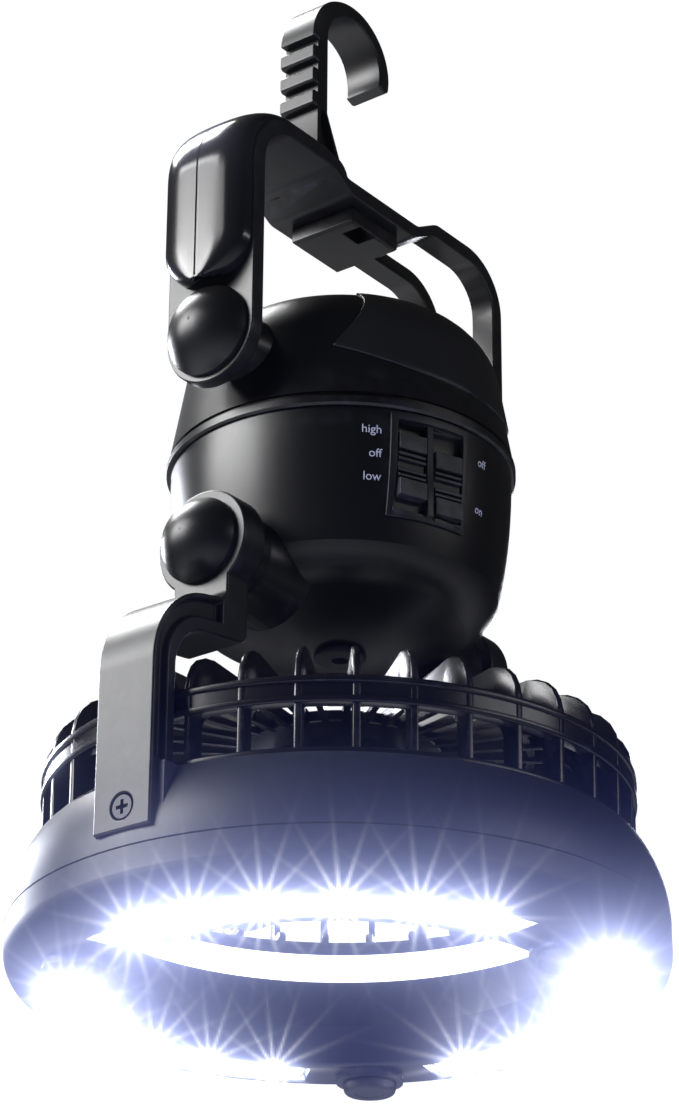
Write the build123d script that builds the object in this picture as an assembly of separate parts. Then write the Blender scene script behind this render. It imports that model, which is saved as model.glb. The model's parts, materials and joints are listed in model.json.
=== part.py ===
from build123d import *
import os
from math import cos, degrees, radians, sin

# Portable camping fan with a light ring, hanging hook and tilting battery body.
# Millimetres. The origin is under the middle of the feet, +Z is up, X runs along
# the pivots and -Y is the side that the badge faces.

# ---------------------------------------------------------------- driving sizes
# Head: light ring, shell and fan cage
HEAD_R = 76.7
FOOT_R = 6.6
FACE_Z = 4.8
SEAM_Z = 19.0
SEAM_GAP = 0.4
SHELL_TOP_Z = 37.4
SHELL_LEAN = 5.7
SHELL_TOP_R = HEAD_R - SHELL_LEAN
DUCT_TOP_Z = 28.0
DUCT_KNEE_Z = 15.0
DUCT_FLARE = 6.9
DUCT_KNEE_STEP = 0.8
SKIN = 2.2
CAGE_STEP = 1.8
CAGE_R = SHELL_TOP_R - CAGE_STEP
CAGE_TOP_Z = 66.0
CAGE_CORNER = 9.5
FIN_COUNT = 34
FIN_T = 1.5
FIN_PHASE = 8.6
FIN_DEPTH_TOP = 13.5
FIN_DEPTH_LOW = 5.0
FIN_TOE = 11.2
FLANGE_W = 7.4
BAND_LO_Z = 49.5
BAND_HI_Z = 55.9
BAND_T = 3.0
HUB_PLATE_R = 25.0

# Lights: three arcs between the feet
ARC_COUNT = 3
ARC_SPAN = 92.0
ARC_PHASE = 90.0
LEDS_PER_ARC = 6
LED_R = 2.5
LIGHT_MARGIN = 8.0
LIGHT_W = 11.8
LIGHT_OUT_R = HEAD_R - LIGHT_MARGIN
LIGHT_IN_R = LIGHT_OUT_R - LIGHT_W
LED_CIRCLE_R = (LIGHT_IN_R + LIGHT_OUT_R) / 2
FOOT_INSET = 0.2
FOOT_CIRCLE_R = LED_CIRCLE_R - FOOT_INSET
DUCT_RIM_W = 3.3
DUCT_MOUTH_R = LIGHT_IN_R - DUCT_RIM_W
DUCT_THROAT_R = DUCT_MOUTH_R + DUCT_FLARE
LENS_T = 1.2
TRAY_T = 0.9
TRAY_DEPTH = 6.2
BOARD_T = 1.6
BOARD_SCREW_R = 1.6
BOARD_SCREW_HEAD_R = 3.4
BOARD_SCREW_HEAD_H = 1.8
FOOT_BOSS_WALL = 1.6
FOOT_BOSS_TOP_Z = 11.0
FOOT_SOCKET_Z = 8.4
COLLAR_T = 1.7

# Motor and rotor
MOTOR_R = 13.8
MOTOR_LEN = 15.0
SHAFT_R = 1.0
ROTOR_INSET = 3.6
ROTOR_R = DUCT_MOUTH_R - ROTOR_INSET
ROTOR_HUB_R = 15.5
ROTOR_HUB_H = 11.0
ROTOR_Z = 41.0
BLADE_COUNT = 5
BLADE_T = 1.6
BLADE_CHORD = 27.0
BLADE_PITCH = 26.0

# Battery body
TILT_Z = 100.2
RIM_Z = 135.6
RIM_R = 41.6
CREASE_Z = 103.0
CREASE_R = 38.0
BOWL_Z = 90.0
BOWL_EDGE_IN = 8.0
BOWL_EDGE_UP = 5.6
WALL = 2.0
CELL_R = 17.1
CELL_LEN = 61.5
CELL_Z = 104.0

# Top cover
LIP_R = 42.7
LIP_H = 2.8
COVER_SHOULDER_Z = 160.0
COVER_SHOULDER_R = 38.6
COVER_TOP_Z = 178.2
CROWN_EDGE_IN = 10.1
CROWN_EDGE_DROP = 5.6
FOLD_Z = 155.4
BADGE_T = 0.6
BADGE_LO_Z = 152.6
BADGE_HI_Z = 171.4
BADGE_LO_W = 66.0
BADGE_HI_W = 45.0

# Switch panel, turned from the badge side towards the left pivot
PANEL_TURN = 22.0
PANEL_W = 21.4
PANEL_LO_Z = 109.0
PANEL_HI_Z = 135.0
PANEL_RIM = 1.7
PANEL_PROUD = 0.7
KNOB_H = 16.2
KNOB_END = 4.3
KNOB_RIB = 0.75
KNOB_RIB_PITCH = 1.35
KNOB_GAP = 0.35
DIVIDER = 1.7
FAN_THROW = 2.9
LIGHT_THROW = 5.6

# Pivots
BOSS_END_X = 44.2
UPPER_BOSS_END_X = 46.8
BOSS_R = 7.6
LOWER_BOSS_R = 10.6
LOWER_FAIRING = 2.2
UPPER_FAIRING = 2.4
WASHER_T = 0.8
PIN_R = 4.0
RUN_GAP = 0.05
FACE_GAP = 0.12
HEAD_SCREW_R = 6.2
HEAD_SCREW_H = 2.2
LOWER_CAP_R = 10.4
UPPER_CAP_R = 11.5
CAP_H = 7.0
CAP_T = 1.5

# Yoke arms
ARM_PROUD = 0.7
ARM_OUT_X = HEAD_R + ARM_PROUD
ARM_T = 7.6
ARM_BEND_R = 22.0
ARM_SHELF_Z = 84.0
ARM_SHELF_DROP = 5.0
ARM_SHELF_T = 10.4
ARM_RIB_T = 1.5
ARM_CHANNEL = 1.9
ARM_W = 16.0
ARM_FOOT_Z = 22.6
KNUCKLE_R = 12.8
KNUCKLE_T = 7.6
YOKE_SCREW_Z = 28.0
YOKE_SCREW_R = 2.7

# Handle
HANDLE_IN_X = 47.7
HANDLE_T = 4.0
HANDLE_W = 26.0
STRAP_LO_Z = 206.8
CORNER_RISE = 4.4
CORNER_R = 15.0
SADDLE_X = 14.0
SADDLE_RUN = 8.0
SLOT_W = 12.6
SLOT_X = 20.0
SLOT_LO_Z = 172.0
PAD_T = 6.2
PAD_TOP_T = 2.6
PAD_W = 24.8
PAD_EDGE_R = 4.8
PAD_END_R = 10.0
PAD_GAP = 0.3
PAD_LO_Z = FOLD_Z + UPPER_CAP_R + PAD_GAP
PAD_END_X = -13.5

# Hook
HOOK_AXIS_X = -14.0
HOOK_AXIS_Z = 214.0
HOOK_W = 10.8
HOOK_T = 3.9
HOOK_IN_R = 11.1
HOOK_EYE_X = -2.5
HOOK_EYE_Z = 255.6
HOOK_TIP_ANGLE = 17.0
HOOK_TIP_ROUND = 1.6
HOOK_NECK_H = 19.0
HOOK_FLARE_H = 8.0
HOOK_CREST_DROP = 2.0
HOOK_KNUCKLE_R = 5.6
HOOK_PIN_R = 2.0
RIDGE_PITCH = 6.8
RIDGE_DEPTH = 2.2
RIDGE_GAP = 2.5
RIDGE_COUNT = 3
EAR_T = 3.0
HOUSING_X = (-8.6, 10.2)
HOUSING_W = 19.2
HOUSING_H = 4.4

parts = {}


# ---------------------------------------------------------------- helpers
def polar(r, angle, z=0.0):
    """A point at radius r and angle in degrees about Z."""
    return (r * cos(radians(angle)), r * sin(radians(angle)), z)


def turned(shape, angle):
    """The shape turned about Z by an angle in degrees."""
    return Rot(0, 0, angle) * shape


def ring(r_in, r_out, z_lo, z_hi):
    """A plain ring between two heights."""
    return disc(r_out, z_lo, z_hi) - disc(r_in, z_lo - 1, z_hi + 1)


def disc(r, z_lo, z_hi):
    """A solid round disc between two heights."""
    return Pos(0, 0, z_lo) * Cylinder(r, z_hi - z_lo, align=(Align.CENTER, Align.CENTER, Align.MIN))


def block(x, y, z):
    """A box from its low and high limits on each axis."""
    box = Box(x[1] - x[0], y[1] - y[0], z[1] - z[0], align=(Align.MIN, Align.MIN, Align.MIN))
    return Pos(x[0], y[0], z[0]) * box


def rod_x(r, x_lo, x_hi, z, y=0.0):
    """A round rod along X."""
    rod = Cylinder(r, x_hi - x_lo, align=(Align.CENTER, Align.CENTER, Align.MIN))
    return Pos(x_lo, y, z) * Rot(0, 90, 0) * rod


def rod_y(r, y_lo, y_hi, x, z):
    """A round rod along Y."""
    rod = Cylinder(r, y_hi - y_lo, align=(Align.CENTER, Align.CENTER, Align.MIN))
    return Pos(x, y_lo, z) * Rot(-90, 0, 0) * rod


def spun(lines):
    """A solid of revolution about Z from closed lines drawn in X (radius) and Z."""
    return revolve(make_face(lines), Axis.Z)


def on_xz(points):
    """Radius and height pairs as points on the XZ plane."""
    return [(r, 0, z) for r, z in points]


def chain(points, bends):
    """A path through corner points on the XZ plane with a radius at each inner one."""
    return FilletPolyline(*on_xz(points), radius=bends)


def slab(lines, width):
    """Closed lines on the XZ plane given a width along Y, centred."""
    return extrude(make_face(lines), amount=width / 2, dir=(0, 1, 0), both=True)


def sector(r, angle, half, z_lo, z_hi):
    """A wedge about Z that reaches to radius r."""
    edge = r / cos(radians(half))
    a, b = polar(edge, angle - half), polar(edge, angle + half)
    wedge = make_face(Polyline((0, 0, z_lo), (a[0], a[1], z_lo), (b[0], b[1], z_lo), close=True))
    return extrude(wedge, amount=z_hi - z_lo, dir=(0, 0, 1)) & disc(r, z_lo, z_hi)


def mirrored(shape):
    """The same piece on the other pivot side."""
    return mirror(shape, about=Plane.YZ)


# ---------------------------------------------------------------- head
ARC_ANGLES = [ARC_PHASE + k * 360 / ARC_COUNT for k in range(ARC_COUNT)]
FOOT_ANGLES = [a + 180 / ARC_COUNT for a in ARC_ANGLES]
FACE_T = SKIN
FOOT_STEP = 2.0


def make_bezel():
    """Lower ring: skirt, face with three light windows, foot bosses and air duct."""
    top = SEAM_Z - SEAM_GAP / 2
    outer = chain([(HEAD_R, top), (HEAD_R, FACE_Z + 4.6), (HEAD_R - 5.8, FACE_Z), (DUCT_MOUTH_R, FACE_Z)],
                  [8.0, 5.0])
    rest = Polyline(*on_xz([
        (DUCT_MOUTH_R, FACE_Z),
        (DUCT_MOUTH_R + DUCT_KNEE_STEP, DUCT_KNEE_Z),
        (DUCT_THROAT_R, DUCT_TOP_Z),
        (DUCT_THROAT_R + SKIN, DUCT_TOP_Z),
        (DUCT_MOUTH_R + DUCT_KNEE_STEP + SKIN, DUCT_KNEE_Z + 0.6),
        (DUCT_MOUTH_R + SKIN, FACE_Z + FACE_T),
        (HEAD_R - 7.4, FACE_Z + FACE_T),
        (HEAD_R - SKIN, FACE_Z + 7.4),
        (HEAD_R - SKIN, top),
        (HEAD_R, top)]))
    body = spun(outer + rest)
    body = fillet(body.edges().filter_by(GeomType.CIRCLE).sort_by(
        lambda e: abs(e.radius - DUCT_MOUTH_R) + abs(e.center().Z - FACE_Z))[0], 0.9)
    for angle in ARC_ANGLES:
        window = ring(LIGHT_IN_R, LIGHT_OUT_R, FACE_Z - 1, FACE_Z + FACE_T + 1)
        body -= window & sector(HEAD_R, angle, ARC_SPAN / 2, FACE_Z - 1, FACE_Z + FACE_T + 1)
    for angle in FOOT_ANGLES:
        x, y, _ = polar(FOOT_CIRCLE_R, angle)
        boss = disc(FOOT_R + FOOT_BOSS_WALL, FACE_Z - FOOT_STEP, FACE_Z + 1)
        boss += disc(FOOT_R, FACE_Z, FOOT_BOSS_TOP_Z)
        socket = disc(FOOT_R - 1.4, FACE_Z - 3, FOOT_SOCKET_Z)
        socket += disc(BOARD_SCREW_R, FOOT_SOCKET_Z - 0.4, FOOT_BOSS_TOP_Z + 1)
        body = body + Pos(x, y, 0) * boss - Pos(x, y, 0) * socket
    return body


def make_foot(angle):
    """Rubber foot: a low dome with a plug that presses into the foot boss."""
    x, y, _ = polar(FOOT_CIRCLE_R, angle)
    pad = disc(FOOT_R, 0, FACE_Z - FOOT_STEP)
    pad = fillet(pad.edges().group_by(Axis.Z)[0], 1.0)
    plug = disc(FOOT_R - 1.4, FACE_Z - FOOT_STEP, FOOT_SOCKET_Z - 0.2)
    return Pos(x, y, 0) * (pad + plug)


LENS_Z = FACE_Z + 0.5


def arc_band(r_in, r_out, z_lo, z_hi, angle, half):
    """An arc-shaped bar about Z."""
    return ring(r_in, r_out, z_lo, z_hi) & sector(r_out + 5, angle, half, z_lo - 1, z_hi + 1)


def make_lens(angle):
    """Clear window over one arc of lights."""
    gap = 0.05
    half = ARC_SPAN / 2 - degrees(gap / LIGHT_IN_R)
    pane = arc_band(LIGHT_IN_R + gap, LIGHT_OUT_R - gap, LENS_Z, LENS_Z + LENS_T, angle, half)
    return pane


TRAY_Z = FACE_Z + FACE_T
BOARD_Z = TRAY_Z + TRAY_DEPTH


def led_angles(arc):
    """Angles of the lights in one arc."""
    step = ARC_SPAN / LEDS_PER_ARC
    return [arc - ARC_SPAN / 2 + step * (k + 0.5) for k in range(LEDS_PER_ARC)]


def make_reflector(angle):
    """Bright tray behind one lens with a tapered well for each light."""
    half = ARC_SPAN / 2 - 0.6
    tray = arc_band(LIGHT_IN_R - 0.2, LIGHT_OUT_R + 0.2, TRAY_Z, BOARD_Z, angle, half)
    inside = arc_band(LIGHT_IN_R + TRAY_T, LIGHT_OUT_R - TRAY_T, TRAY_Z - 1, BOARD_Z - TRAY_T,
                      angle, half - 1.2)
    tray -= inside
    for led in led_angles(angle):
        x, y, _ = polar(LED_CIRCLE_R, led)
        tray -= Pos(x, y, 0) * disc(LED_R + 0.3, BOARD_Z - TRAY_T - 1, BOARD_Z + 1)
    return tray


def make_leds():
    """All the lights: domed bodies that hang from the light board."""
    leds = []
    length = TRAY_DEPTH - 1.0
    for arc in ARC_ANGLES:
        for angle in led_angles(arc):
            x, y, _ = polar(LED_CIRCLE_R, angle)
            body = disc(LED_R, BOARD_Z - length + LED_R, BOARD_Z)
            body += Pos(0, 0, BOARD_Z - length + LED_R) * Sphere(LED_R)
            leds.append(Pos(x, y, 0) * body)
    return leds


def make_led_board():
    """Ring-shaped circuit board that the lights stand on."""
    board = ring(LIGHT_IN_R + 0.6, LIGHT_OUT_R + 1.4, BOARD_Z, BOARD_Z + BOARD_T)
    for angle in FOOT_ANGLES:
        x, y, _ = polar(FOOT_CIRCLE_R, angle)
        board -= Pos(x, y, 0) * disc(2.2, BOARD_Z - 1, BOARD_Z + BOARD_T + 1)
    return board


def make_board_screws():
    """Screws that hold the light board down on the foot bosses."""
    screws = []
    for angle in FOOT_ANGLES:
        x, y, _ = polar(FOOT_CIRCLE_R, angle)
        head = disc(BOARD_SCREW_HEAD_R, BOARD_Z + BOARD_T, BOARD_Z + BOARD_T + BOARD_SCREW_HEAD_H)
        shank = disc(BOARD_SCREW_R, FOOT_SOCKET_Z + 0.2, BOARD_Z + BOARD_T)
        screws.append(Pos(x, y, 0) * (head + shank))
    return screws


def make_board_posts():
    """Spacer posts between the foot bosses and the light board."""
    posts = []
    for angle in FOOT_ANGLES:
        x, y, _ = polar(FOOT_CIRCLE_R, angle)
        posts.append(Pos(x, y, 0) * ring(BOARD_SCREW_R + 0.05, 4.0, FOOT_BOSS_TOP_Z, BOARD_Z))
    return posts


def make_shell():
    """Upper ring of the head between the seam and the cage."""
    low = SEAM_Z + SEAM_GAP / 2
    bulge = (HEAD_R - 1.35, 0, SEAM_Z + 9.4)
    outer = ThreePointArc((HEAD_R, 0, low), bulge, (SHELL_TOP_R, 0, SHELL_TOP_Z))
    low_edge = SEAM_Z - SEAM_GAP / 2 - 3.6
    profile = Polyline(*on_xz([
        (SHELL_TOP_R, SHELL_TOP_Z),
        (CAGE_R - FLANGE_W, SHELL_TOP_Z),
        (CAGE_R - FLANGE_W, SHELL_TOP_Z - SKIN),
        (SHELL_TOP_R - 2.6, SHELL_TOP_Z - SKIN),
        (HEAD_R - 3.8, SEAM_Z + 9.4),
        (HEAD_R - 3.8, low_edge),
        (HEAD_R - SKIN - 0.05, low_edge),
        (HEAD_R - SKIN - 0.05, low),
        (HEAD_R, low)]))
    body = spun(outer + profile)
    for side in (-1, 1):
        body = body + yoke_pad(side) - yoke_pocket(side)
        hole = sorted((side * (ARM_IN_X - PAD_BACK - 5), side * (HEAD_R + 5)))
        body -= rod_x(YOKE_SCREW_SHANK + 0.1, *hole, YOKE_SCREW_Z)
    return body


YOKE_SCREW_SHANK = 1.7
ARM_IN_X = ARM_OUT_X - ARM_T
PAD_WALL = 1.8
PAD_BACK = 3.0
SEAT_GAP = 0.1


def make_duct_collar():
    """White collar that closes the duct between the bezel and the shell."""
    r_in = CAGE_R - FLANGE_W
    return ring(r_in - COLLAR_T / 2, r_in + COLLAR_T / 2, DUCT_TOP_Z, SHELL_TOP_Z - SKIN)


def yoke_pad(side):
    """Flat-faced pilaster on the shell that carries a yoke arm."""
    pad = block((ARM_IN_X - PAD_BACK, SHELL_TOP_R + 4.0), (-ARM_W / 2 - PAD_WALL, ARM_W / 2 + PAD_WALL),
                (SEAM_Z + SEAM_GAP / 2, SHELL_TOP_Z))
    return pad if side > 0 else mirrored(pad)


def yoke_pocket(side):
    """Space in the pilaster for the foot of a yoke arm."""
    pocket = block((ARM_IN_X, HEAD_R + 9), (-ARM_W / 2 - SEAT_GAP, ARM_W / 2 + SEAT_GAP),
                   (ARM_FOOT_Z - SEAT_GAP, SHELL_TOP_Z + 5))
    return pocket if side > 0 else mirrored(pocket)


TOE_H = 2.6
GRILLE_RING_R = 44.0


def make_cage():
    """Fan cage: radial fins, middle band, rear grille and motor cup."""
    low_z = SHELL_TOP_Z
    fins = []
    plate = Polyline(*on_xz([
        (CAGE_R, low_z), (CAGE_R, CAGE_TOP_Z), (HUB_PLATE_R - 2, CAGE_TOP_Z),
        (HUB_PLATE_R - 2, CAGE_TOP_Z - 3.0), (CAGE_R - FIN_DEPTH_TOP, CAGE_TOP_Z - 4.0),
        (CAGE_R - FIN_DEPTH_TOP, BAND_HI_Z), (CAGE_R - FIN_DEPTH_LOW, BAND_LO_Z),
        (CAGE_R - FIN_DEPTH_LOW, low_z), (CAGE_R, low_z)]))
    fin = slab(plate, FIN_T)
    edge = fin.edges().filter_by(Axis.Y).sort_by(
        lambda e: abs(e.center().X - CAGE_R) + abs(e.center().Z - CAGE_TOP_Z))[0]
    fin = fillet(edge, CAGE_CORNER)
    toe = block((CAGE_R - FIN_TOE, CAGE_R - FIN_DEPTH_LOW), (-FIN_T / 2, FIN_T / 2), (low_z, low_z + TOE_H))
    toe = fillet(toe.edges().filter_by(Axis.Y).group_by(Axis.X)[0], TOE_H * 0.45)
    fin += toe
    cage = turned(fin, FIN_PHASE)
    for k in range(1, FIN_COUNT):
        fins.append(turned(fin, FIN_PHASE + k * 360 / FIN_COUNT))
    band = ring(CAGE_R - BAND_T, CAGE_R + 0.5, BAND_LO_Z, BAND_HI_Z)
    groove = ring(CAGE_R - 0.1, CAGE_R + 2, BAND_LO_Z + 1.5, BAND_HI_Z - 1.5)
    foot_ring = ring(CAGE_R - FIN_DEPTH_LOW - 1.6, CAGE_R + 0.3, low_z, low_z + 1.8)
    mid_ring = ring(GRILLE_RING_R, GRILLE_RING_R + 2.4, CAGE_TOP_Z - 3.0, CAGE_TOP_Z)
    hub = disc(HUB_PLATE_R, CAGE_TOP_Z - 3.0, CAGE_TOP_Z)
    cup = ring(MOTOR_R + 0.1, MOTOR_R + 2.2, CAGE_TOP_Z - 3.0 - MOTOR_LEN + 3, CAGE_TOP_Z - 2.5)
    return cage.fuse(*fins, band - groove, foot_ring, mid_ring, hub, cup)


# ---------------------------------------------------------------- motor and rotor
MOTOR_TOP = CAGE_TOP_Z - 3.0
MOTOR_BASE = MOTOR_TOP - MOTOR_LEN


def make_motor():
    """Motor can with its bearing boss."""
    can = disc(MOTOR_R, MOTOR_BASE, MOTOR_TOP)
    can = fillet(can.edges().group_by(Axis.Z)[0], 0.8)
    boss = disc(3.4, MOTOR_BASE - 1.4, MOTOR_BASE + 1)
    bore = disc(SHAFT_R + RUN_GAP, MOTOR_BASE - 2, MOTOR_BASE + 5)
    return can + boss - bore


def make_shaft():
    """Motor shaft that carries the rotor."""
    return disc(SHAFT_R, ROTOR_Z - ROTOR_HUB_H / 2 + 2.2, MOTOR_BASE + 4.6)


def make_rotor():
    """Fan rotor: a cup hub with pitched blades."""
    lo = ROTOR_Z - ROTOR_HUB_H / 2
    hi = ROTOR_Z + ROTOR_HUB_H / 2
    hub = disc(ROTOR_HUB_R, lo, hi)
    hub = fillet(hub.edges().group_by(Axis.Z)[0], 3.0)
    hub -= disc(ROTOR_HUB_R - 1.8, lo + 2.0, hi + 1)
    post = disc(3.2, lo + 1.0, min(hi - 1.0, MOTOR_BASE - 1.9))
    rotor = hub + post
    blades = []
    for k in range(BLADE_COUNT):
        stations = []
        for share, pitch, chord in ((0.0, 1.35, 0.62), (0.5, 1.1, 0.92), (1.0, 0.8, 1.0)):
            r = ROTOR_HUB_R - 1.2 + share * (ROTOR_R - ROTOR_HUB_R + 1.2)
            plane = Plane(origin=(r, share * 5.0, ROTOR_Z), x_dir=(0, 1, 0), z_dir=(1, 0, 0))
            section = plane * Rot(0, 0, BLADE_PITCH * pitch) * RectangleRounded(
                BLADE_CHORD * chord, BLADE_T, BLADE_T * 0.45)
            stations.append(section)
        blade = loft(stations)
        blade &= disc(ROTOR_R, lo - 20, hi + 20)
        blades.append(turned(blade, k * 360 / BLADE_COUNT))
    rotor = rotor.fuse(*blades)
    rotor -= disc(ROTOR_HUB_R - 1.8, lo + 2.0, hi + 12) - disc(3.2, lo, hi + 13)
    return rotor - disc(SHAFT_R, lo + 2.2, hi + 13)


# ---------------------------------------------------------------- battery body
PANEL_ANGLE = -90.0 - PANEL_TURN
NECK_H = 1.6
NECK_STEP = 0.7
NECK_GAP = 0.3


def barrel_profile(inset):
    """Closed half-section of the barrel, moved inwards by an inset; only the outside has a neck."""
    rim = RIM_R - inset
    crease = CREASE_R - inset
    base = BOWL_Z + inset
    corner_r = CREASE_R - BOWL_EDGE_IN - inset
    corner_z = BOWL_Z + BOWL_EDGE_UP + inset * 0.5
    wall = TangentArc((rim, 0, RIM_Z), (crease, 0, CREASE_Z), tangent=(0, 0, -1))
    start = (-sin(radians(26)), 0, -cos(radians(26)))
    corner = TangentArc((crease, 0, CREASE_Z), (corner_r, 0, corner_z), tangent=start)
    floor = TangentArc((0, 0, base), (corner_r, 0, corner_z), tangent=(1, 0, 0))
    if inset == 0:
        neck, top = rim - NECK_STEP, RIM_Z + NECK_H
        cap = Polyline((rim, 0, RIM_Z), (neck, 0, RIM_Z), (neck, 0, top), (0, 0, top), (0, 0, base))
    else:
        top = RIM_Z + NECK_H + 5.0
        cap = Polyline((rim, 0, RIM_Z), (rim, 0, top), (0, 0, top), (0, 0, base))
    return wall + corner + floor + cap


def boss_pair(end_x, root_x, z, r, fairing):
    """Round pivot bosses on both sides, with a cone where they meet the wall."""
    boss = rod_x(r, root_x, end_x, z)
    cone = Cone(r + fairing, r, end_x - root_x - 4.0, align=(Align.CENTER, Align.CENTER, Align.MIN))
    boss += Pos(root_x, 0, z) * Rot(0, 90, 0) * cone
    return boss, mirrored(boss)


def panel_frame(shape):
    """Moves a shape drawn facing +X at the panel to the panel's angle."""
    return turned(shape, PANEL_ANGLE)


PANEL_MID_Z = (PANEL_LO_Z + PANEL_HI_Z) / 2
PANEL_FLOOR_X = RIM_R - 4.4
SWITCH_DEPTH = 7.8
PANEL_FLOOR_T = 1.5
OPEN_W = PANEL_W - 2 * PANEL_RIM
OPEN_H = PANEL_HI_Z - PANEL_LO_Z - 2 * PANEL_RIM
KNOB_W = (OPEN_W - DIVIDER) / 2 - 2 * KNOB_GAP
KNOB_Y = (OPEN_W + DIVIDER) / 4
PIVOT_THREAD_R = 2.0
PIVOT_THREAD_LEN = 9.6


def make_barrel():
    """Lower battery body with a bowl-shaped bottom, pivot bosses and panel window."""
    outer = spun(barrel_profile(0))
    inner = spun(barrel_profile(WALL))
    left, right = boss_pair(BOSS_END_X, CREASE_R - 11.0, TILT_Z, LOWER_BOSS_R, LOWER_FAIRING)
    body = (outer + left + right) - inner
    for side in (-1, 1):
        body += rod_x(BOSS_R - 2.4, *sorted((side * (CREASE_R - 4.4), side * BOSS_END_X)), TILT_Z)
        body -= rod_x(PIVOT_THREAD_R, *sorted((side * (BOSS_END_X - PIVOT_THREAD_LEN),
                                               side * (BOSS_END_X + 1))), TILT_Z)
    window = block((PANEL_FLOOR_X - 1.0, LIP_R + 4), (-PANEL_W / 2 + 1.2, PANEL_W / 2 - 1.2),
                   (PANEL_LO_Z + 1.2, PANEL_HI_Z - 1.2))
    body -= panel_frame(window)
    body -= disc(4.0, BOWL_Z - 1, BOWL_Z + 6)
    return body


def make_grommet():
    """Rubber grommet in the wire hole at the bottom of the barrel."""
    lip = disc(6.2, BOWL_Z - 1.4, BOWL_Z)
    lip = fillet(lip.edges().group_by(Axis.Z)[0], 0.6)
    plug = disc(3.95, BOWL_Z - 1.0, BOWL_Z + WALL + 1.2)
    return (lip + plug) - disc(2.0, BOWL_Z - 3, BOWL_Z + WALL + 3)


def make_cradle():
    """Floor plate inside the barrel with a shallow cup for each cell."""
    inner = spun(barrel_profile(WALL + 0.05))
    plate = disc(RIM_R, CELL_Z - 3.0, CELL_Z + 4.0) & inner
    for x, y in cell_centres():
        plate -= Pos(x, y, 0) * disc(CELL_R + 0.25, CELL_Z - 1.2, CELL_Z + 6)
    for side in (-1, 1):
        plate -= rod_x(BOSS_R, *sorted((side * (CREASE_R - 6.0), side * 60.0)), TILT_Z)
    return plate


def cell_centres():
    """The two cells lie side by side, across the panel's direction."""
    offset = CELL_R + 0.2
    x, y, _ = polar(offset, PANEL_ANGLE + 90)
    return [(x, y), (-x, -y)]


def make_cell(index):
    """One round battery cell, the second one upside down."""
    x, y = cell_centres()[index]
    nub = 1.5
    can = disc(CELL_R, 0, CELL_LEN - nub)
    can = fillet(can.edges(), 0.8)
    can += disc(4.6, CELL_LEN - nub - 0.5, CELL_LEN)
    if index == 1:
        can = Pos(0, 0, CELL_LEN) * Rot(180, 0, 0) * can
    return Pos(x, y, CELL_Z) * can


def make_lower_contacts():
    """Leaf contacts under the cells."""
    leaves = []
    for x, y in cell_centres():
        leaf = disc(7.0, CELL_Z - 1.2, CELL_Z - 0.7) + disc(3.0, CELL_Z - 0.8, CELL_Z - 0.02)
        leaves.append(Pos(x, y, 0) * leaf)
    return leaves


def make_switch_board():
    """Small circuit board behind the switch panel."""
    half = PANEL_W / 2 - 0.3
    board = block((PANEL_FLOOR_X - SWITCH_DEPTH - BOARD_T, PANEL_FLOOR_X - SWITCH_DEPTH), (-half, half),
                  (PANEL_LO_Z + 1, PANEL_HI_Z - 1))
    return panel_frame(board)


def make_switch_body(side):
    """Metal-cased slide switch on the board, one for each knob."""
    y = side * KNOB_Y
    body = block((PANEL_FLOOR_X - SWITCH_DEPTH, PANEL_FLOOR_X - 3.4), (y - 3.6, y + 3.6),
                 (PANEL_MID_Z - 9.0, PANEL_MID_Z + 9.0))
    throw = FAN_THROW if side < 0 else LIGHT_THROW / 2
    track = block((PANEL_FLOOR_X - 5.6, PANEL_FLOOR_X), (y - 1.3, y + 1.3),
                  (PANEL_MID_Z - throw - 1.8, PANEL_MID_Z + throw + 1.8))
    return panel_frame(body - track)


def make_panel():
    """Switch frame let into the barrel: rim, divider and a floor with two tracks."""
    frame = spun(barrel_profile(-PANEL_PROUD))
    frame &= block((RIM_R - 12, RIM_R + 9), (-PANEL_W / 2, PANEL_W / 2), (PANEL_LO_Z, PANEL_HI_Z))
    frame -= spun(barrel_profile(0)) - block((0, 2 * RIM_R), (-PANEL_W / 2 + 1.25, PANEL_W / 2 - 1.25),
                                            (PANEL_LO_Z + 1.25, PANEL_HI_Z - 1.25))
    frame -= disc(RIM_R - 5.0, PANEL_LO_Z - 1, PANEL_HI_Z + 1)
    floor = block((PANEL_FLOOR_X, PANEL_FLOOR_X + PANEL_FLOOR_T), (-OPEN_W / 2 - 0.5, OPEN_W / 2 + 0.5),
                  (PANEL_MID_Z - OPEN_H / 2 - 0.5, PANEL_MID_Z + OPEN_H / 2 + 0.5))
    frame -= block((20, 60), (-OPEN_W / 2, OPEN_W / 2),
                   (PANEL_MID_Z - OPEN_H / 2, PANEL_MID_Z + OPEN_H / 2))
    bar = block((PANEL_FLOOR_X, RIM_R - 0.6), (-DIVIDER / 2, DIVIDER / 2),
                (PANEL_MID_Z - OPEN_H / 2 - 0.5, PANEL_MID_Z + OPEN_H / 2 + 0.5))
    wall = block((PANEL_FLOOR_X, RIM_R - 2.0), (-PANEL_W / 2 + 1.25, PANEL_W / 2 - 1.25),
                 (PANEL_LO_Z + 1.25, PANEL_HI_Z - 1.25))
    wall -= block((20, 60), (-OPEN_W / 2, OPEN_W / 2),
                  (PANEL_MID_Z - OPEN_H / 2, PANEL_MID_Z + OPEN_H / 2))
    frame = frame + wall + floor + bar
    for side, throw in ((-1, FAN_THROW), (1, LIGHT_THROW / 2)):
        y = side * KNOB_Y
        frame -= block((20, PANEL_FLOOR_X + 3), (y - 1.4, y + 1.4),
                       (PANEL_MID_Z - throw - 2.0, PANEL_MID_Z + throw + 2.0))
    return panel_frame(frame)


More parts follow.
